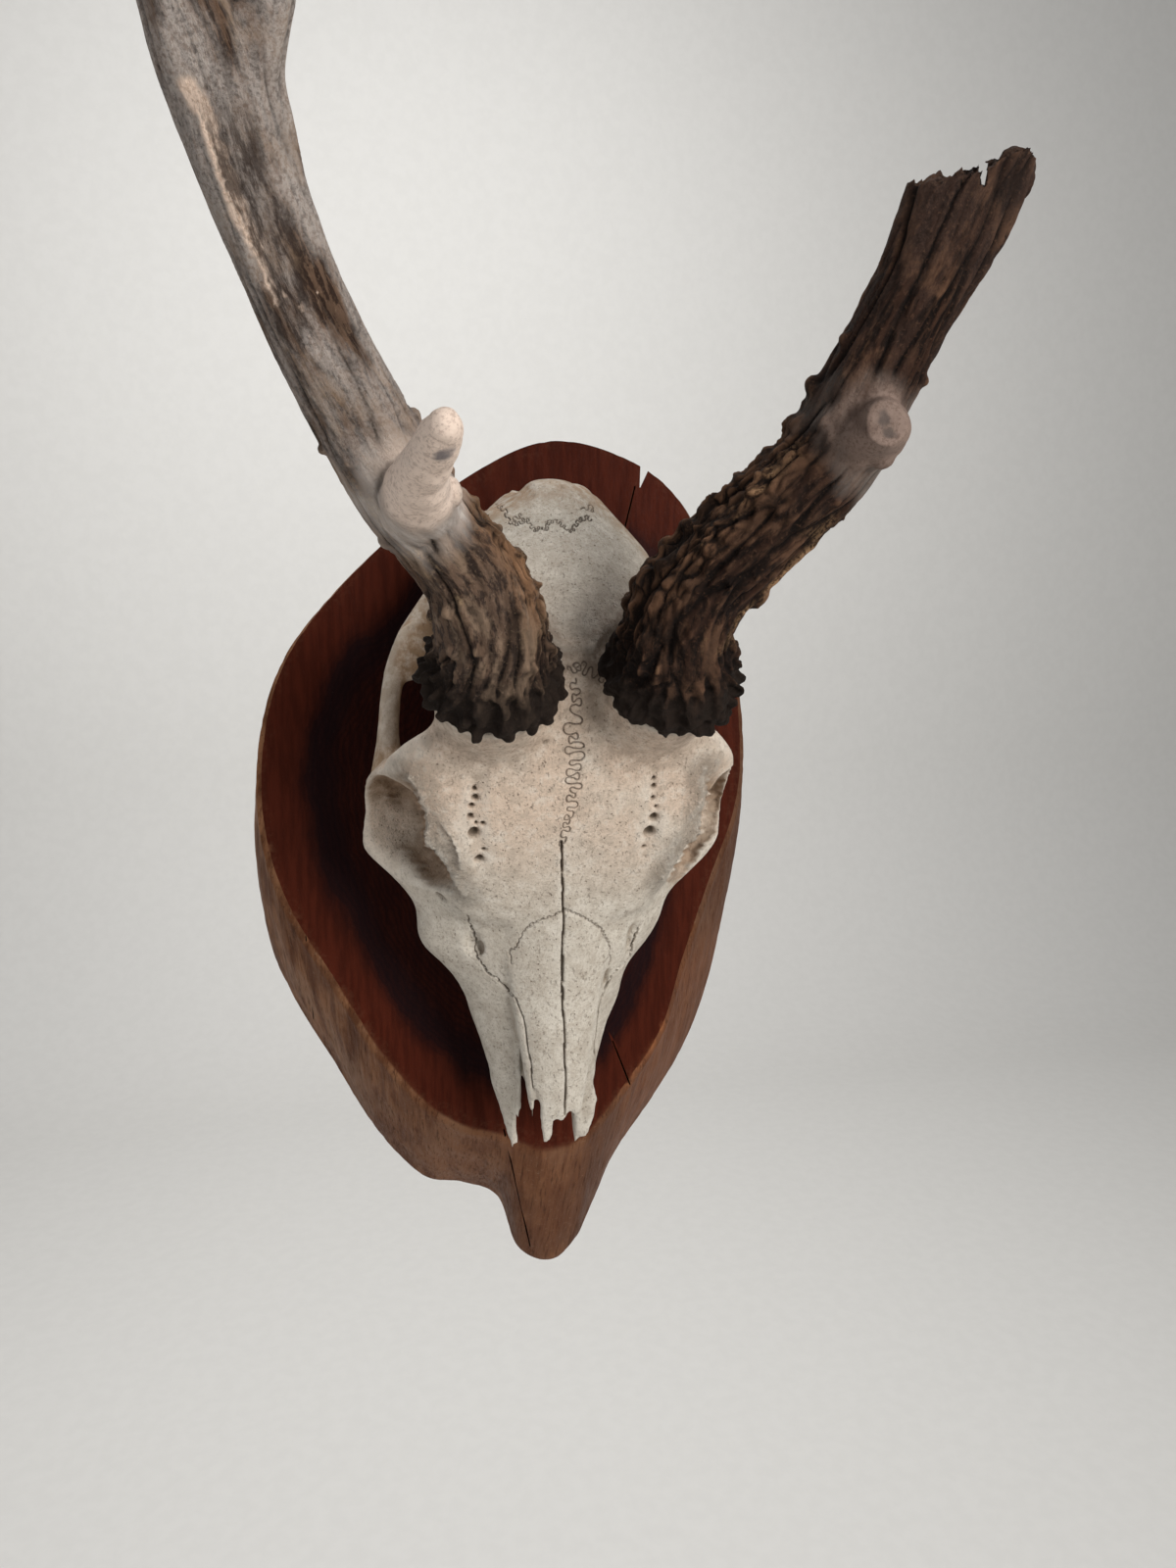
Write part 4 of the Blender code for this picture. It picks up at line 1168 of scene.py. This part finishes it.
# Small dark marks on the worn tines, as (x, y, radius in millimetres)
LEFT_MARKS = ((453, 465, 1.7),)
RIGHT_MARKS = ((903, 428, 1.6), (908, 440, 1.2))
for antler, marks in ((left_antler, LEFT_MARKS), (right_antler, RIGHT_MARKS)):
    skin = skin_tree(antler)
    places = points_of(antler)
    spot = np.zeros(len(places))
    for x, y, radius in marks:
        away = apart(places, laid_on(skin, [(x, y)])[0])
        away += wander(places, 1.5 * MM, 8) * 1.2 * MM
        spot = np.maximum(spot, 1 - ease(radius * 0.5 * MM, radius * 1.5 * MM, away))
    give(antler, "spot", spot)
for antler in (left_antler, right_antler):
    thin(antler)

# %% [markdown]
# ## The slice of log
#
# The log was sawn at a slant, so its face is a long oval and its sides lean down into the wall. A
# cylinder is the start: its side is divided into rings and its face is inset many times, like growth
# rings. Then each point slides to its place between the outline of the face and the outline of the
# back. The table gives both outlines at the same ribs, in millimetres.

# %% Shape the log from a cylinder
LOG_RIBS = (
    ((6, 107), (6, 108)), ((30, 104), (32, 104)), ((51, 92), (56, 90)), ((64, 71), (71, 70)),
    ((73, 43), (84, 46)), ((78, 8), (91, 23)), ((77, -20), (89, -2)), ((66, -52), (82, -36)),
    ((57, -79), (72, -62)), ((50, -103), (57, -86)), ((38, -122), (42, -107)), ((24, -139), (33, -128)),
    ((15, -145), (26, -143)), ((4, -146), (15, -152)), ((-5, -143), (1, -144)),
    ((-14, -139), (-7, -121)), ((-26, -135), (-21, -113)), ((-39, -125), (-38, -108)),
    ((-55, -104), (-56, -86)), ((-70, -77), (-72, -56)), ((-84, -51), (-85, -31)),
    ((-91, -25), (-94, -6)), ((-91, 2), (-95, 20)), ((-85, 27), (-90, 38)), ((-73, 47), (-78, 54)),
    ((-48, 73), (-52, 76)), ((-20, 95), (-22, 97)),
)  # fmt: skip
LOG_LEAN = 70 * MM
FACE_MIDDLE = np.array((0.0, 0.0, -19.5)) * MM
BULGES = ((0.0, 0.0), (0.04, 0.0035), (0.35, 0.006), (0.7, 0.005), (0.96, 0.002), (1.0, 0.0))
LOG_WIDTH = 170 * MM
SIDES, SIDE_RINGS, FACE_RINGS = 324, 26, 14
bpy.ops.mesh.primitive_cylinder_add(
    vertices=SIDES, radius=1.0, depth=1.0, end_fill_type="NGON", rotation=(math.pi / 2, 0, 0)
)
log = bpy.context.object
log.name = "log_slice"
bpy.ops.object.transform_apply(rotation=True)
choose(log, "FACE", log.data.polygons, [face.normal.y < -0.9 for face in log.data.polygons])
for _ in range(FACE_RINGS):
    bpy.ops.mesh.inset(thickness=0.96 / FACE_RINGS)
bpy.ops.object.mode_set(mode="OBJECT")
depths = points_of(log)[:, 1]
run_back = [abs(depths[edge.vertices[0]] - depths[edge.vertices[1]]) > 0.5 for edge in log.data.edges]
choose(log, "EDGE", log.data.edges, run_back)
bpy.ops.mesh.subdivide(number_cuts=SIDE_RINGS)
bpy.ops.object.mode_set(mode="OBJECT")

print("cylinder", len(log.data.vertices), "points")

# %% [markdown]
# Each point of the cylinder has a share from the face to the back, an angle and a radius. These three
# numbers give its place between the two outlines.

# %% Slide each point to its place
start = points_of(log)
share = start[:, 1] + 0.5
radius = np.clip(np.hypot(start[:, 0], start[:, 2]), 0, 1)
# The ribs run clockwise from the top, seen from the room
angle = np.mod(np.arctan2(start[:, 0], start[:, 2]), 2 * math.pi)
FINE = 3240
rim_face = smooth_curve([(x * MM, 0, z * MM) for (x, z), _ in LOG_RIBS], FINE, closed=True)
rim_back = smooth_curve([(x * MM, 0, z * MM) for _, (x, z) in LOG_RIBS], FINE, closed=True)
slot_number = np.round(angle / (2 * math.pi) * FINE).astype(int) % FINE
near, far = rim_face[slot_number], rim_back[slot_number]
rim = near + (far - near) * share[:, None]
bulge = np.interp(share, [b[0] for b in BULGES], [b[1] for b in BULGES])
rim = rim + (rim - FACE_MIDDLE) * (bulge / LOG_WIDTH)[:, None]
flat = FACE_MIDDLE + (rim - FACE_MIDDLE) * radius[:, None]
flat[:, 1] = log_face * (1 - share)
flat[:, 2] -= LOG_LEAN * share
move_points(log, flat)
give(log, "inset", 1 - radius)
print("log", len(log.data.polygons), "faces")

# %% [markdown]
# The sides of the log were under its bark, so they are softly furrowed along the grain. The saw left
# the rim crisp, but not perfect.

# %% Furrow the sides
lean_way = np.array((0.0, -log_face, -LOG_LEAN))
lean_way /= np.linalg.norm(lean_way)
places = points_of(log)
outward = points_of(log, "normal")
beside = places - (places @ lean_way)[:, None] * lean_way
grain = beside + (places @ lean_way)[:, None] * lean_way * 0.12
on_side = ease(0.02, 0.12, share) * (1 - ease(0.93, 0.99, share)) * (radius > 0.999)
ripple = wander(grain, 7 * MM, 6) * 0.55 + wander(grain, 2.6 * MM, 7) * 0.22
nibble = (radius > 0.999) * (1 - on_side) * np.minimum(0, wander(places, 3 * MM, 8)) * 0.5
wood_low, wood_high = (np.array(corner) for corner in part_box("wooden_plaque"))
rough_side = places + outward * (((ripple - 0.45) * on_side + nibble) * MM)[:, None]
move_points(log, np.clip(rough_side, wood_low, wood_high))
print("sides furrowed by up to", round(float(np.abs(ripple - 0.45).max()), 1), "mm")


# %% [markdown]
# Drying opened a wedge at the top right, through the whole slice, and finer cracks elsewhere. Each is a
# thin prism that a Boolean takes away.


# %% Cut the cracks
def wedge(start, end, into, width, depth):
    """A cutter for a crack: a thin prism along a line of the surface, with its edge inside the wood."""
    bpy.ops.mesh.primitive_cube_add(size=1.0)
    cutter = bpy.context.object
    into = Vector(into).normalized()
    along = (Vector(end) - Vector(start)).normalized()
    side = along.cross(into).normalized()
    corners = []
    for vertex in cutter.data.vertices:
        place = Vector(start if vertex.co.x < 0 else end)
        inside = vertex.co.z > 0
        half = width / 2 * (0.05 if inside else 1.0)
        place = place + side * (half if vertex.co.y > 0 else -half)
        corners.append(place + into * (depth if inside else -depth * 0.5))
    move_points(cutter, np.array(corners))
    return turned_outwards(cutter)


# The wedge at the top right starts before the face and ends behind the back
split_mouth = Vector((41.3 * MM, log_face, 99.5 * MM))
split_in = Vector((-0.22, 0.0, -0.975))
split_lean = Vector((0.0, -log_face, -LOG_LEAN))
split_front, split_rear = split_mouth - split_lean * 0.3, split_mouth + split_lean * 1.2
cut_away(log, wedge(split_front, split_rear, split_in, 4.4 * MM, 7 * MM))
wood_skin = skin_tree(log)
# Each crack as two pixels on the wood, its width at the surface and its depth
CRACKS = (
    ((648, 496), (636, 545), 0.9, 4.0),
    ((625, 1062), (643, 1107), 0.8, 4.0),
    ((514, 1152), (541, 1272), 0.7, 4.0),
    ((312, 955), (320, 1040), 0.5, 3.0),
)
for first, last, width, depth in CRACKS:
    ends = laid_on(wood_skin, (first, last))
    _, way = ray_through(first)
    cut_away(log, wedge(ends[0], ends[1], way, width * MM, depth * MM))
pick(log)
bpy.ops.object.shade_smooth_by_angle(angle=math.radians(32))
print("log after cutting", len(log.data.polygons), "faces")

# %% [markdown]
# ## Materials
#
# Every finish is built from procedural textures on Object coordinates, or on the numbers that the
# carving stored, so it stays on its piece from any side. The helpers add a node to the finish that was
# started last, set its values and link what they are given.


# %% Helpers for shader nodes
graph = None


def new_finish(name):
    """Starts a finish. The helpers below add to it until the next one is started."""
    global graph
    finish = bpy.data.materials.new(name)
    finish.use_nodes = True
    graph = finish.node_tree
    return finish, graph.nodes["Principled BSDF"]


def feed(socket, value):
    """Links another node's output to a socket, or sets the socket's value. Colours are three numbers."""
    if isinstance(value, bpy.types.NodeSocket):
        graph.links.new(value, socket)
    else:
        socket.default_value = (*value, 1.0) if socket.type == "RGBA" else value


def node(kind, settings=None, **inputs):
    """A node of this kind. Its inputs are given by name as values or as other nodes' sockets."""
    made = graph.nodes.new("ShaderNode" + kind)
    for name, value in (settings or {}).items():
        setattr(made, name, value)
    for name, value in inputs.items():
        feed(made.inputs[name.replace("_", " ")], value)
    return made


def stored(name, vector=False):
    return node("Attribute", {"attribute_name": name}).outputs["Vector" if vector else "Fac"]


def object_place():
    return node("TexCoord").outputs["Object"]


def parts_of(vector):
    return node("SeparateXYZ", Vector=vector).outputs


def stretched(place, scale, rotation=(0, 0, 0)):
    return node("Mapping", Vector=place, Scale=scale, Rotation=rotation).outputs["Vector"]


def cloud(place, scale, detail=4.0, roughness=0.55, distortion=0.0):
    """Noise of this scale, from 0 to 1."""
    settings = {"Scale": scale, "Detail": detail, "Roughness": roughness, "Distortion": distortion}
    return node("TexNoise", Vector=place, **settings).outputs["Fac"]


def between(value, low, high, start=0.0, end=1.0):
    """Maps a value from one range to another, and holds it there."""
    made = node("MapRange", {"interpolation_type": "SMOOTHSTEP"}, Value=value)
    for name, number in (("From Min", low), ("From Max", high), ("To Min", start), ("To Max", end)):
        made.inputs[name].default_value = number
    return made.outputs["Result"]


def sum_of(a, b, operation="ADD"):
    made = node("Math", {"operation": operation})
    feed(made.inputs[0], a)
    feed(made.inputs[1], b)
    return made.outputs[0]


def times(a, b):
    return sum_of(a, b, "MULTIPLY")


def tint(share, under, over):
    """Lays one colour over another by a share."""
    made = node("Mix", {"data_type": "RGBA"})
    for number, value in ((0, share), (6, under), (7, over)):
        feed(made.inputs[number], value)
    return made.outputs[2]


def finish_with(shader, colour, roughness, height, distance, strength=1.0):
    """Links colour and roughness, and a bump whose height is given, to the shader."""
    feed(shader.inputs["Base Color"], colour)
    feed(shader.inputs["Roughness"], roughness)
    bump = node("Bump", Height=height, Distance=distance, Strength=strength)
    feed(shader.inputs["Normal"], bump.outputs["Normal"])


# %% [markdown]
# Bleached bone is cream, warmer over the brow, greyer at the back, with tan stains near the burrs and
# fine dark pores. Hollows are darker with painted shade and ridges paler with a painted highlight. The
# eye sockets, pits and holes are darkened with painted shade, the grey top carries some painted shadow
# of the antlers, and the brown side near the log is partly stain and partly painted shade.


# %% Bone
def bone_finish():
    finish, shader = new_finish("bleached bone")
    shader.inputs["Specular IOR Level"].default_value = 0.22
    place = object_place()
    up = parts_of(place)["Z"]
    broad = cloud(place, 55.0, 3.0)
    middle = cloud(place, 260.0, 6.0, 0.65)
    fine = cloud(place, 1300.0, 5.0, 0.75)
    flecks = cloud(stretched(place, (1.0, 1.0, 0.6)), 1000.0, 3.0, 0.6)
    colour = tint(between(broad, 0.36, 0.66), (0.61, 0.555, 0.475), (0.54, 0.485, 0.41))
    # The brow is warmer between the nose's root and the burrs
    warm = times(between(up, -0.05, -0.005), between(up, 0.02, 0.06, 1.0, 0.3))
    warm = times(warm, between(broad, 0.3, 0.6, 0.5, 0.95))
    colour = tint(warm, colour, (0.64, 0.495, 0.385))
    # The top of the head is greyer, partly its own tone and partly painted shadow of the antlers
    colour = tint(between(up, 0.045, 0.075, 0.0, 0.7), colour, (0.44, 0.41, 0.355))
    colour = tint(between(middle, 0.47, 0.62, 0.0, 0.42), colour, (0.40, 0.335, 0.27))
    colour = tint(between(middle, 0.5, 0.34, 0.0, 0.4), colour, (0.72, 0.665, 0.585))
    colour = tint(between(fine, 0.51, 0.62, 0.0, 0.58), colour, (0.33, 0.27, 0.21))
    colour = tint(between(flecks, 0.56, 0.72, 0.0, 0.5), colour, (0.26, 0.205, 0.16))
    pores = node("TexVoronoi", {"feature": "F1"}, Vector=place, Scale=560.0).outputs["Distance"]
    pores = times(between(pores, 0.2, 0.08), between(middle, 0.46, 0.58))
    colour = tint(times(pores, 0.7), colour, (0.16, 0.115, 0.08))
    # Brown stains run down from the antlers, in blotches
    blotches = between(middle, 0.36, 0.6, 0.35, 1.0)
    stain = times(stored("stain"), blotches)
    behind = times(stain, between(up, 0.02, 0.04, 0.3, 0.85))
    colour = tint(behind, colour, (0.235, 0.165, 0.12))
    low = parts_of(place)["Y"]
    # Low on the side of the head, near the log, the bone is browner: partly stain, partly painted shade
    side_of_head = times(between(low, -0.108, -0.094), between(up, -0.012, 0.0))
    colour = tint(times(side_of_head, blotches), colour, (0.32, 0.21, 0.125))
    proud = stored("proud")
    # Painted shade darkens the hollows, and a painted highlight pales the ridges
    colour = tint(between(proud, -0.05, -0.6, 0.0, 0.7), colour, (0.26, 0.20, 0.145))
    colour = tint(between(proud, 0.08, 0.5, 0.0, 0.35), colour, (0.72, 0.67, 0.59))
    # The eye sockets are painted a dark tan brown: partly their tan tone, partly painted shade growing with
    # depth
    bowl = tint(between(middle, 0.4, 0.62), (0.40, 0.275, 0.185), (0.24, 0.155, 0.098))
    colour = tint(times(stored("socket"), 0.92), colour, bowl)
    # Painted shade: the nerve pits are painted near black
    colour = tint(times(stored("pitted"), 0.8), colour, (0.09, 0.065, 0.045))
    # Dark sutures and cracks, with painted shade in the holes
    broken_line = between(fine, 0.34, 0.52, 1.0, 0.62)
    seams_and_hole_shade = times(stored("seams_and_hole_shade"), broken_line)
    colour = tint(seams_and_hole_shade, colour, (0.05, 0.034, 0.024))
    lace = times(stored("lace"), between(fine, 0.38, 0.6))
    height = sum_of(times(fine, 1.3), times(middle, 1.6))
    height = sum_of(height, times(pores, 1.2), "SUBTRACT")
    height = sum_of(height, times(between(flecks, 0.58, 0.72), 0.9), "SUBTRACT")
    height = sum_of(height, times(lace, 1.6))
    rough = between(fine, 0.3, 0.7, 0.55, 0.75)
    finish_with(shader, colour, rough, height, 0.4 * MM, 0.8)
    return finish


skull.data.materials.append(bone_finish())

# %% [markdown]
# Antler is brown where the furrows kept the tree's bark and dirt, tan on the ridges that rubbing polished
# and bone pale on the tips. Its hollows, and the burr under its knobs, are darkened with painted shade.
# Streaks follow the beam, so their noise reads the stored grain.


# %% Antler
def horn_finish(
    name, dark, body, ridge, gold, grey, skirt_tone, tine_pale, tine_dark, spot_tone,
    crotch, warm_tone, warm_side,
):  # fmt: skip
    """Horn from the colours of its furrows, body, ridges, rubbed patches, weathered parts and tines.

    Crotch is how far along the beam its golden part ends, and one side of that part has a warm tone."""
    finish, shader = new_finish(name)
    place = object_place()
    grain = stored("grain", vector=True)
    streaks = cloud(stretched(grain, (1, 1, 0.28)), 520.0, 6.0, 0.68)
    patches = cloud(stretched(grain, (1, 1, 0.5)), 110.0, 5.0, 0.65)
    second = cloud(stretched(grain, (1, 1, 0.4), (0.3, 0.2, 1.1)), 75.0, 4.0, 0.6)
    specks = cloud(place, 1000.0, 5.0, 0.75)
    proud = stored("proud")
    furrow = stored("furrow")
    tine = stored("tine")
    foot = stored("foot")
    skirt = stored("skirt")
    along = parts_of(grain)["Z"]
    middle_part = times(between(along, 0.02, 0.035), between(along, crotch, crotch - 0.03))
    colour = tint(between(streaks, 0.45, 0.55), dark, body)
    colour = tint(between(patches, 0.5, 0.6, 0.0, 0.8), colour, ridge)
    golden = times(between(second, 0.5, 0.6, 0.0, 0.9), middle_part)
    colour = tint(times(golden, between(specks, 0.42, 0.54)), colour, gold)
    to_warm_side = times(parts_of(grain)["X"], warm_side)
    warmed = times(between(to_warm_side, 0.001, 0.010), middle_part)
    warmed = times(warmed, between(streaks, 0.40, 0.54, 0.15, 0.9))
    colour = tint(warmed, colour, warm_tone)
    greyed = times(between(second, 0.62, 0.42, 0.0, 0.85), between(along, 0.05, 0.11, 0.05, 1.0))
    colour = tint(times(greyed, between(specks, 0.36, 0.6, 0.4, 1.0)), colour, grey)
    colour = tint(between(proud, 0.15, 0.8, 0.0, 0.6), colour, ridge)
    over_skirt = times(skirt, between(streaks, 0.34, 0.55, 1.0, 0.6))
    colour = tint(over_skirt, colour, skirt_tone)
    burnt = times(foot, between(patches, 0.66, 0.42, 0.6, 1.0))
    colour = tint(burnt, colour, (0.015, 0.010, 0.008))
    tips = times(between(proud, 0.55, 1.15), between(second, 0.44, 0.6, 0.15, 0.8))
    colour = tint(tips, colour, gold)
    # Painted shade: the hollows are painted near black
    colour = tint(between(proud, -0.02, -0.5, 0.0, 0.92), colour, (0.005, 0.0035, 0.003))
    colour = tint(times(furrow, 0.8), colour, (0.008, 0.005, 0.004))
    colour = tint(between(specks, 0.56, 0.66, 0.0, 0.35), colour, ridge)
    # Near the foot the burr is dark apart from its knob tops: partly its own dark colour, partly painted
    # shade under the knobs
    dark_burr_and_knob_shade = times(between(foot, 0.5, 0.85, 0.0, 0.85), between(proud, 1.2, 0.7, 0.25, 1.0))
    colour = tint(dark_burr_and_knob_shade, colour, (0.018, 0.012, 0.009))
    torn = times(stored("torn"), between(specks, 0.4, 0.6))
    colour = tint(times(torn, 0.8), colour, (0.075, 0.045, 0.032))
    porous = between(specks, 0.48, 0.62, 0.0, 0.75)
    pale = tint(porous, tine_pale, tine_dark)
    pale = tint(between(second, 0.44, 0.6, 0.0, 0.8), pale, grey)
    colour = tint(times(tine, 0.96), colour, pale)
    colour = tint(times(stored("spot"), 0.85), colour, spot_tone)
    rubbed = tint(between(specks, 0.45, 0.62), (0.80, 0.62, 0.50), (0.58, 0.42, 0.32))
    scrape = times(stored("scrape"), between(streaks, 0.3, 0.42, 0.35, 1.0))
    colour = tint(scrape, colour, rubbed)
    beside = times(stored("beside"), between(streaks, 0.62, 0.42, 0.3, 0.85))
    colour = tint(beside, colour, (0.035, 0.022, 0.017))
    height = sum_of(times(streaks, 3.4), times(specks, 1.8))
    height = times(height, between(tine, 0.2, 1.0, 1.0, 0.3))
    finish_with(shader, colour, between(streaks, 0.3, 0.7, 0.55, 0.8), height, 0.45 * MM, 0.8)
    shader.inputs["Specular IOR Level"].default_value = 0.09
    return finish


# %% [markdown]
# The left antler is weathered to a greyish brown, and its tine is nearly as pale as bone. The right one
# is still dark.

# %% The two horns
left_antler.data.materials.append(
    horn_finish(
        "left horn",
        dark=(0.034, 0.019, 0.013),
        body=(0.135, 0.082, 0.054),
        ridge=(0.27, 0.182, 0.122),
        gold=(0.46, 0.31, 0.175),
        grey=(0.50, 0.44, 0.40),
        skirt_tone=(0.62, 0.55, 0.50),
        tine_pale=(0.78, 0.63, 0.53),
        tine_dark=(0.46, 0.345, 0.285),
        spot_tone=(0.13, 0.12, 0.13),
        crotch=0.09,
        warm_tone=(0.30, 0.155, 0.078),
        warm_side=1,
    )
)
right_antler.data.materials.append(
    horn_finish(
        "right horn",
        dark=(0.009, 0.0045, 0.003),
        body=(0.040, 0.019, 0.012),
        ridge=(0.145, 0.075, 0.044),
        gold=(0.50, 0.30, 0.16),
        grey=(0.050, 0.029, 0.022),
        skirt_tone=(0.29, 0.245, 0.215),
        tine_pale=(0.25, 0.18, 0.148),
        tine_dark=(0.13, 0.088, 0.07),
        spot_tone=(0.085, 0.066, 0.058),
        crotch=0.085,
        warm_tone=(0.165, 0.085, 0.047),
        warm_side=-1,
    )
)

# %% [markdown]
# The log's heartwood is a deep oiled red, near black under the skull. Its sides are paler sapwood,
# with long streaks down the lean of the log and an orange flank at the lower right that is partly
# painted light. Both read the same grain: coordinates turned so that one axis runs along the log. Sides
# that face right are darkened with painted shade.


# %% Wood
def wood_finish():
    finish, shader = new_finish("oiled log")
    place = object_place()
    along_log = math.atan2(LOG_LEAN, -log_face)
    turned_place = stretched(place, (1, 1, 1), (along_log, 0, 0))
    fibres = cloud(stretched(turned_place, (1, 0.06, 1)), 1100.0, 5.0, 0.65)
    streaks = cloud(stretched(turned_place, (1, 0.12, 1)), 170.0, 6.0, 0.65, 0.3)
    patches = cloud(stretched(turned_place, (1, 0.5, 1)), 38.0, 5.0, 0.6)
    dust = cloud(place, 600.0, 5.0, 0.7)
    parts = parts_of(place)
    normal = parts_of(node("NewGeometry").outputs["Normal"])
    inset = stored("inset")
    edge = sum_of(inset, between(patches, 0.3, 0.7, -0.03, 0.03))
    rings = node(
        "TexWave", {"wave_type": "BANDS", "bands_direction": "X"},
        Vector=node("CombineXYZ", X=edge).outputs["Vector"], Scale=14.0, Distortion=2.5, Detail=3.0,
    ).outputs["Fac"]  # fmt: skip
    upright = cloud(stretched(place, (1, 1, 0.12)), 420.0, 4.0, 0.6)
    heart = tint(between(upright, 0.36, 0.64), (0.021, 0.0052, 0.004), (0.032, 0.0075, 0.0048))
    heart = tint(between(rings, 0.3, 0.8, 0.0, 0.4), heart, (0.009, 0.0035, 0.004))
    rim = tint(between(upright, 0.36, 0.64), (0.044, 0.0085, 0.0042), (0.064, 0.0125, 0.006))
    heart = tint(between(edge, 0.18, 0.09), heart, rim)
    heart = tint(between(parts["Z"], 0.055, 0.09, 0.0, 0.8), heart, rim)
    band = times(between(edge, 0.14, 0.19), between(edge, 0.30, 0.23))
    heart = tint(times(band, 0.6), heart, (0.008, 0.0045, 0.006))
    heart = tint(between(dust, 0.6, 0.75, 0.0, 0.12), heart, (0.10, 0.06, 0.045))
    bark = tint(between(streaks, 0.38, 0.6), (0.11, 0.042, 0.019), (0.24, 0.112, 0.056))
    bark = tint(between(patches, 0.44, 0.58, 0.0, 0.65), bark, (0.09, 0.032, 0.014))
    bark = tint(between(patches, 0.46, 0.34, 0.0, 0.5), bark, (0.25, 0.145, 0.09))
    low_part = between(parts["Z"], -0.10, -0.15)
    bark = tint(times(low_part, 0.5), bark, (0.11, 0.044, 0.022))
    # An orange flank at the lower right: partly sapwood colour, partly painted light from the right
    flank = times(between(parts["X"], 0.028, 0.045), between(parts["Z"], -0.06, -0.09))
    orange = tint(between(streaks, 0.4, 0.62), (0.42, 0.16, 0.065), (0.22, 0.075, 0.032))
    bark = tint(times(flank, 0.8), bark, orange)
    # Painted shade: sides that face right, towards the window lamp, are darkened
    bark = tint(between(normal["X"], 0.1, 0.7, 0.0, 0.72), bark, (0.075, 0.032, 0.018))
    bark = tint(between(fibres, 0.54, 0.66, 0.0, 0.6), bark, (0.035, 0.016, 0.010))
    bark = tint(between(dust, 0.58, 0.72, 0.0, 0.4), bark, (0.26, 0.175, 0.12))
    worn_edge = times(between(edge, 0.03, 0.0), between(dust, 0.45, 0.6))
    colour = tint(between(normal["Y"], -0.98, -0.90), heart, bark)
    colour = tint(times(worn_edge, 0.1), colour, (0.16, 0.075, 0.04))
    sawn = tint(between(upright, 0.36, 0.64), (0.115, 0.052, 0.028), (0.165, 0.082, 0.046))
    sawn = tint(between(rings, 0.3, 0.8, 0.0, 0.35), sawn, (0.085, 0.036, 0.019))
    sawn = tint(between(dust, 0.55, 0.7, 0.0, 0.3), sawn, (0.24, 0.16, 0.11))
    colour = tint(between(normal["Y"], 0.90, 0.98), colour, sawn)
    height = sum_of(times(fibres, 1.5), times(streaks, 2.4))
    rough = between(fibres, 0.3, 0.7, 0.38, 0.6)
    finish_with(shader, colour, rough, height, 0.3 * MM, 0.5)
    shader.inputs["Specular IOR Level"].default_value = 0.03
    return finish


log.data.materials.append(wood_finish())

# %% [markdown]
# ## Stage and light
#
# A pale sheet runs along the floor and up behind, in a sweep without an edge, so there is no horizon.

# %% The sheet
FLOOR_LEVEL = -0.75
bpy.ops.mesh.primitive_plane_add(size=1.0, location=(0, 0, 0))
sheet = bpy.context.object
sheet.name = "pale_floor"
SHEET_WIDTH, SHEET_LENGTH, SHEET_HEIGHT = 7.0, 6.5, 4.0
corners = [(x * SHEET_WIDTH, (y - 0.29) * SHEET_LENGTH, FLOOR_LEVEL) for x, y, _ in points_of(sheet)]
move_points(sheet, np.array(corners))
rear = [all(corners[v][1] > 1.0 for v in edge.vertices) for edge in sheet.data.edges]
choose(sheet, "EDGE", sheet.data.edges, rear)
SWEEP_STEPS, STRIDE = 10, 0.08
for step in range(SWEEP_STEPS):
    rise = math.pi / 2 * (step + 0.5) / SWEEP_STEPS
    bpy.ops.mesh.extrude_region_move(
        TRANSFORM_OT_translate={"value": (0, STRIDE * math.cos(rise), STRIDE * math.sin(rise))}
    )
bpy.ops.mesh.extrude_region_move(TRANSFORM_OT_translate={"value": (0, 0, SHEET_HEIGHT)})
bpy.ops.object.mode_set(mode="OBJECT")
sheet.data.shade_smooth()
paper, shader = new_finish("pale paper")
weave = cloud(object_place(), 60.0, 3.0)
colour = tint(between(weave, 0.3, 0.7), (0.66, 0.65, 0.63), (0.68, 0.67, 0.65))
finish_with(shader, colour, 0.9, weave, 0.2 * MM, 0.2)
sheet.data.materials.append(paper)
print("sheet", SHEET_WIDTH, "by", SHEET_LENGTH, "m, with its floor at", FLOOR_LEVEL)


# %% [markdown]
# A soft lamp stands at the right like a window, with a weaker one at the left. A third lights the sheet
# behind, and a pale sky fills the shadows.


# %% Lamps and sky
def lamp(name, place, size, power, colour, aim=(0, -0.08, 0.0)):
    """A round soft lamp that looks at a point."""
    bpy.ops.object.light_add(type="AREA", location=place)
    light = bpy.context.object
    light.name = name
    light.data.shape = "DISK"
    light.data.size = size
    light.data.energy = power
    light.data.color = colour
    way = Vector(aim) - Vector(place)
    light.rotation_mode = "QUATERNION"
    light.rotation_quaternion = way.to_track_quat("-Z", "Y")
    return light


lamp("window", (0.62, -1.25, 0.35), 0.7, 17.0, (1.0, 0.985, 0.955))
lamp("room", (-1.2, -1.0, 0.1), 1.0, 4.0, (0.96, 0.98, 1.0))
lamp("backdrop", (0.0, 0.35, 1.0), 1.4, 22.0, (1.0, 0.995, 0.985), aim=(0, 1.6, 0.1))
sky = bpy.data.worlds.new("studio sky")
bpy.context.scene.world = sky
sky.use_nodes = True
sky.node_tree.nodes["Background"].inputs["Color"].default_value = (0.80, 0.80, 0.80, 1.0)
sky.node_tree.nodes["Background"].inputs["Strength"].default_value = 0.32
bpy.context.scene.view_settings.view_transform = "Standard"

# %% [markdown]
# ## The pieces on their body
#
# Each dressed piece rides on the body of the solids and stands for its solid.

# %% Ride, replace and measure
for piece, stands_for, finish_slot in (
    (log, "wooden_plaque", "wood"),
    (skull, "deer_skull", "bone"),
    (left_antler, "left_antler", "left_horn"),
    (right_antler, "right_antler", "right_horn"),
):
    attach(piece, "root")
    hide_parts(stands_for)
    print(piece.name, len(piece.data.polygons), "faces")
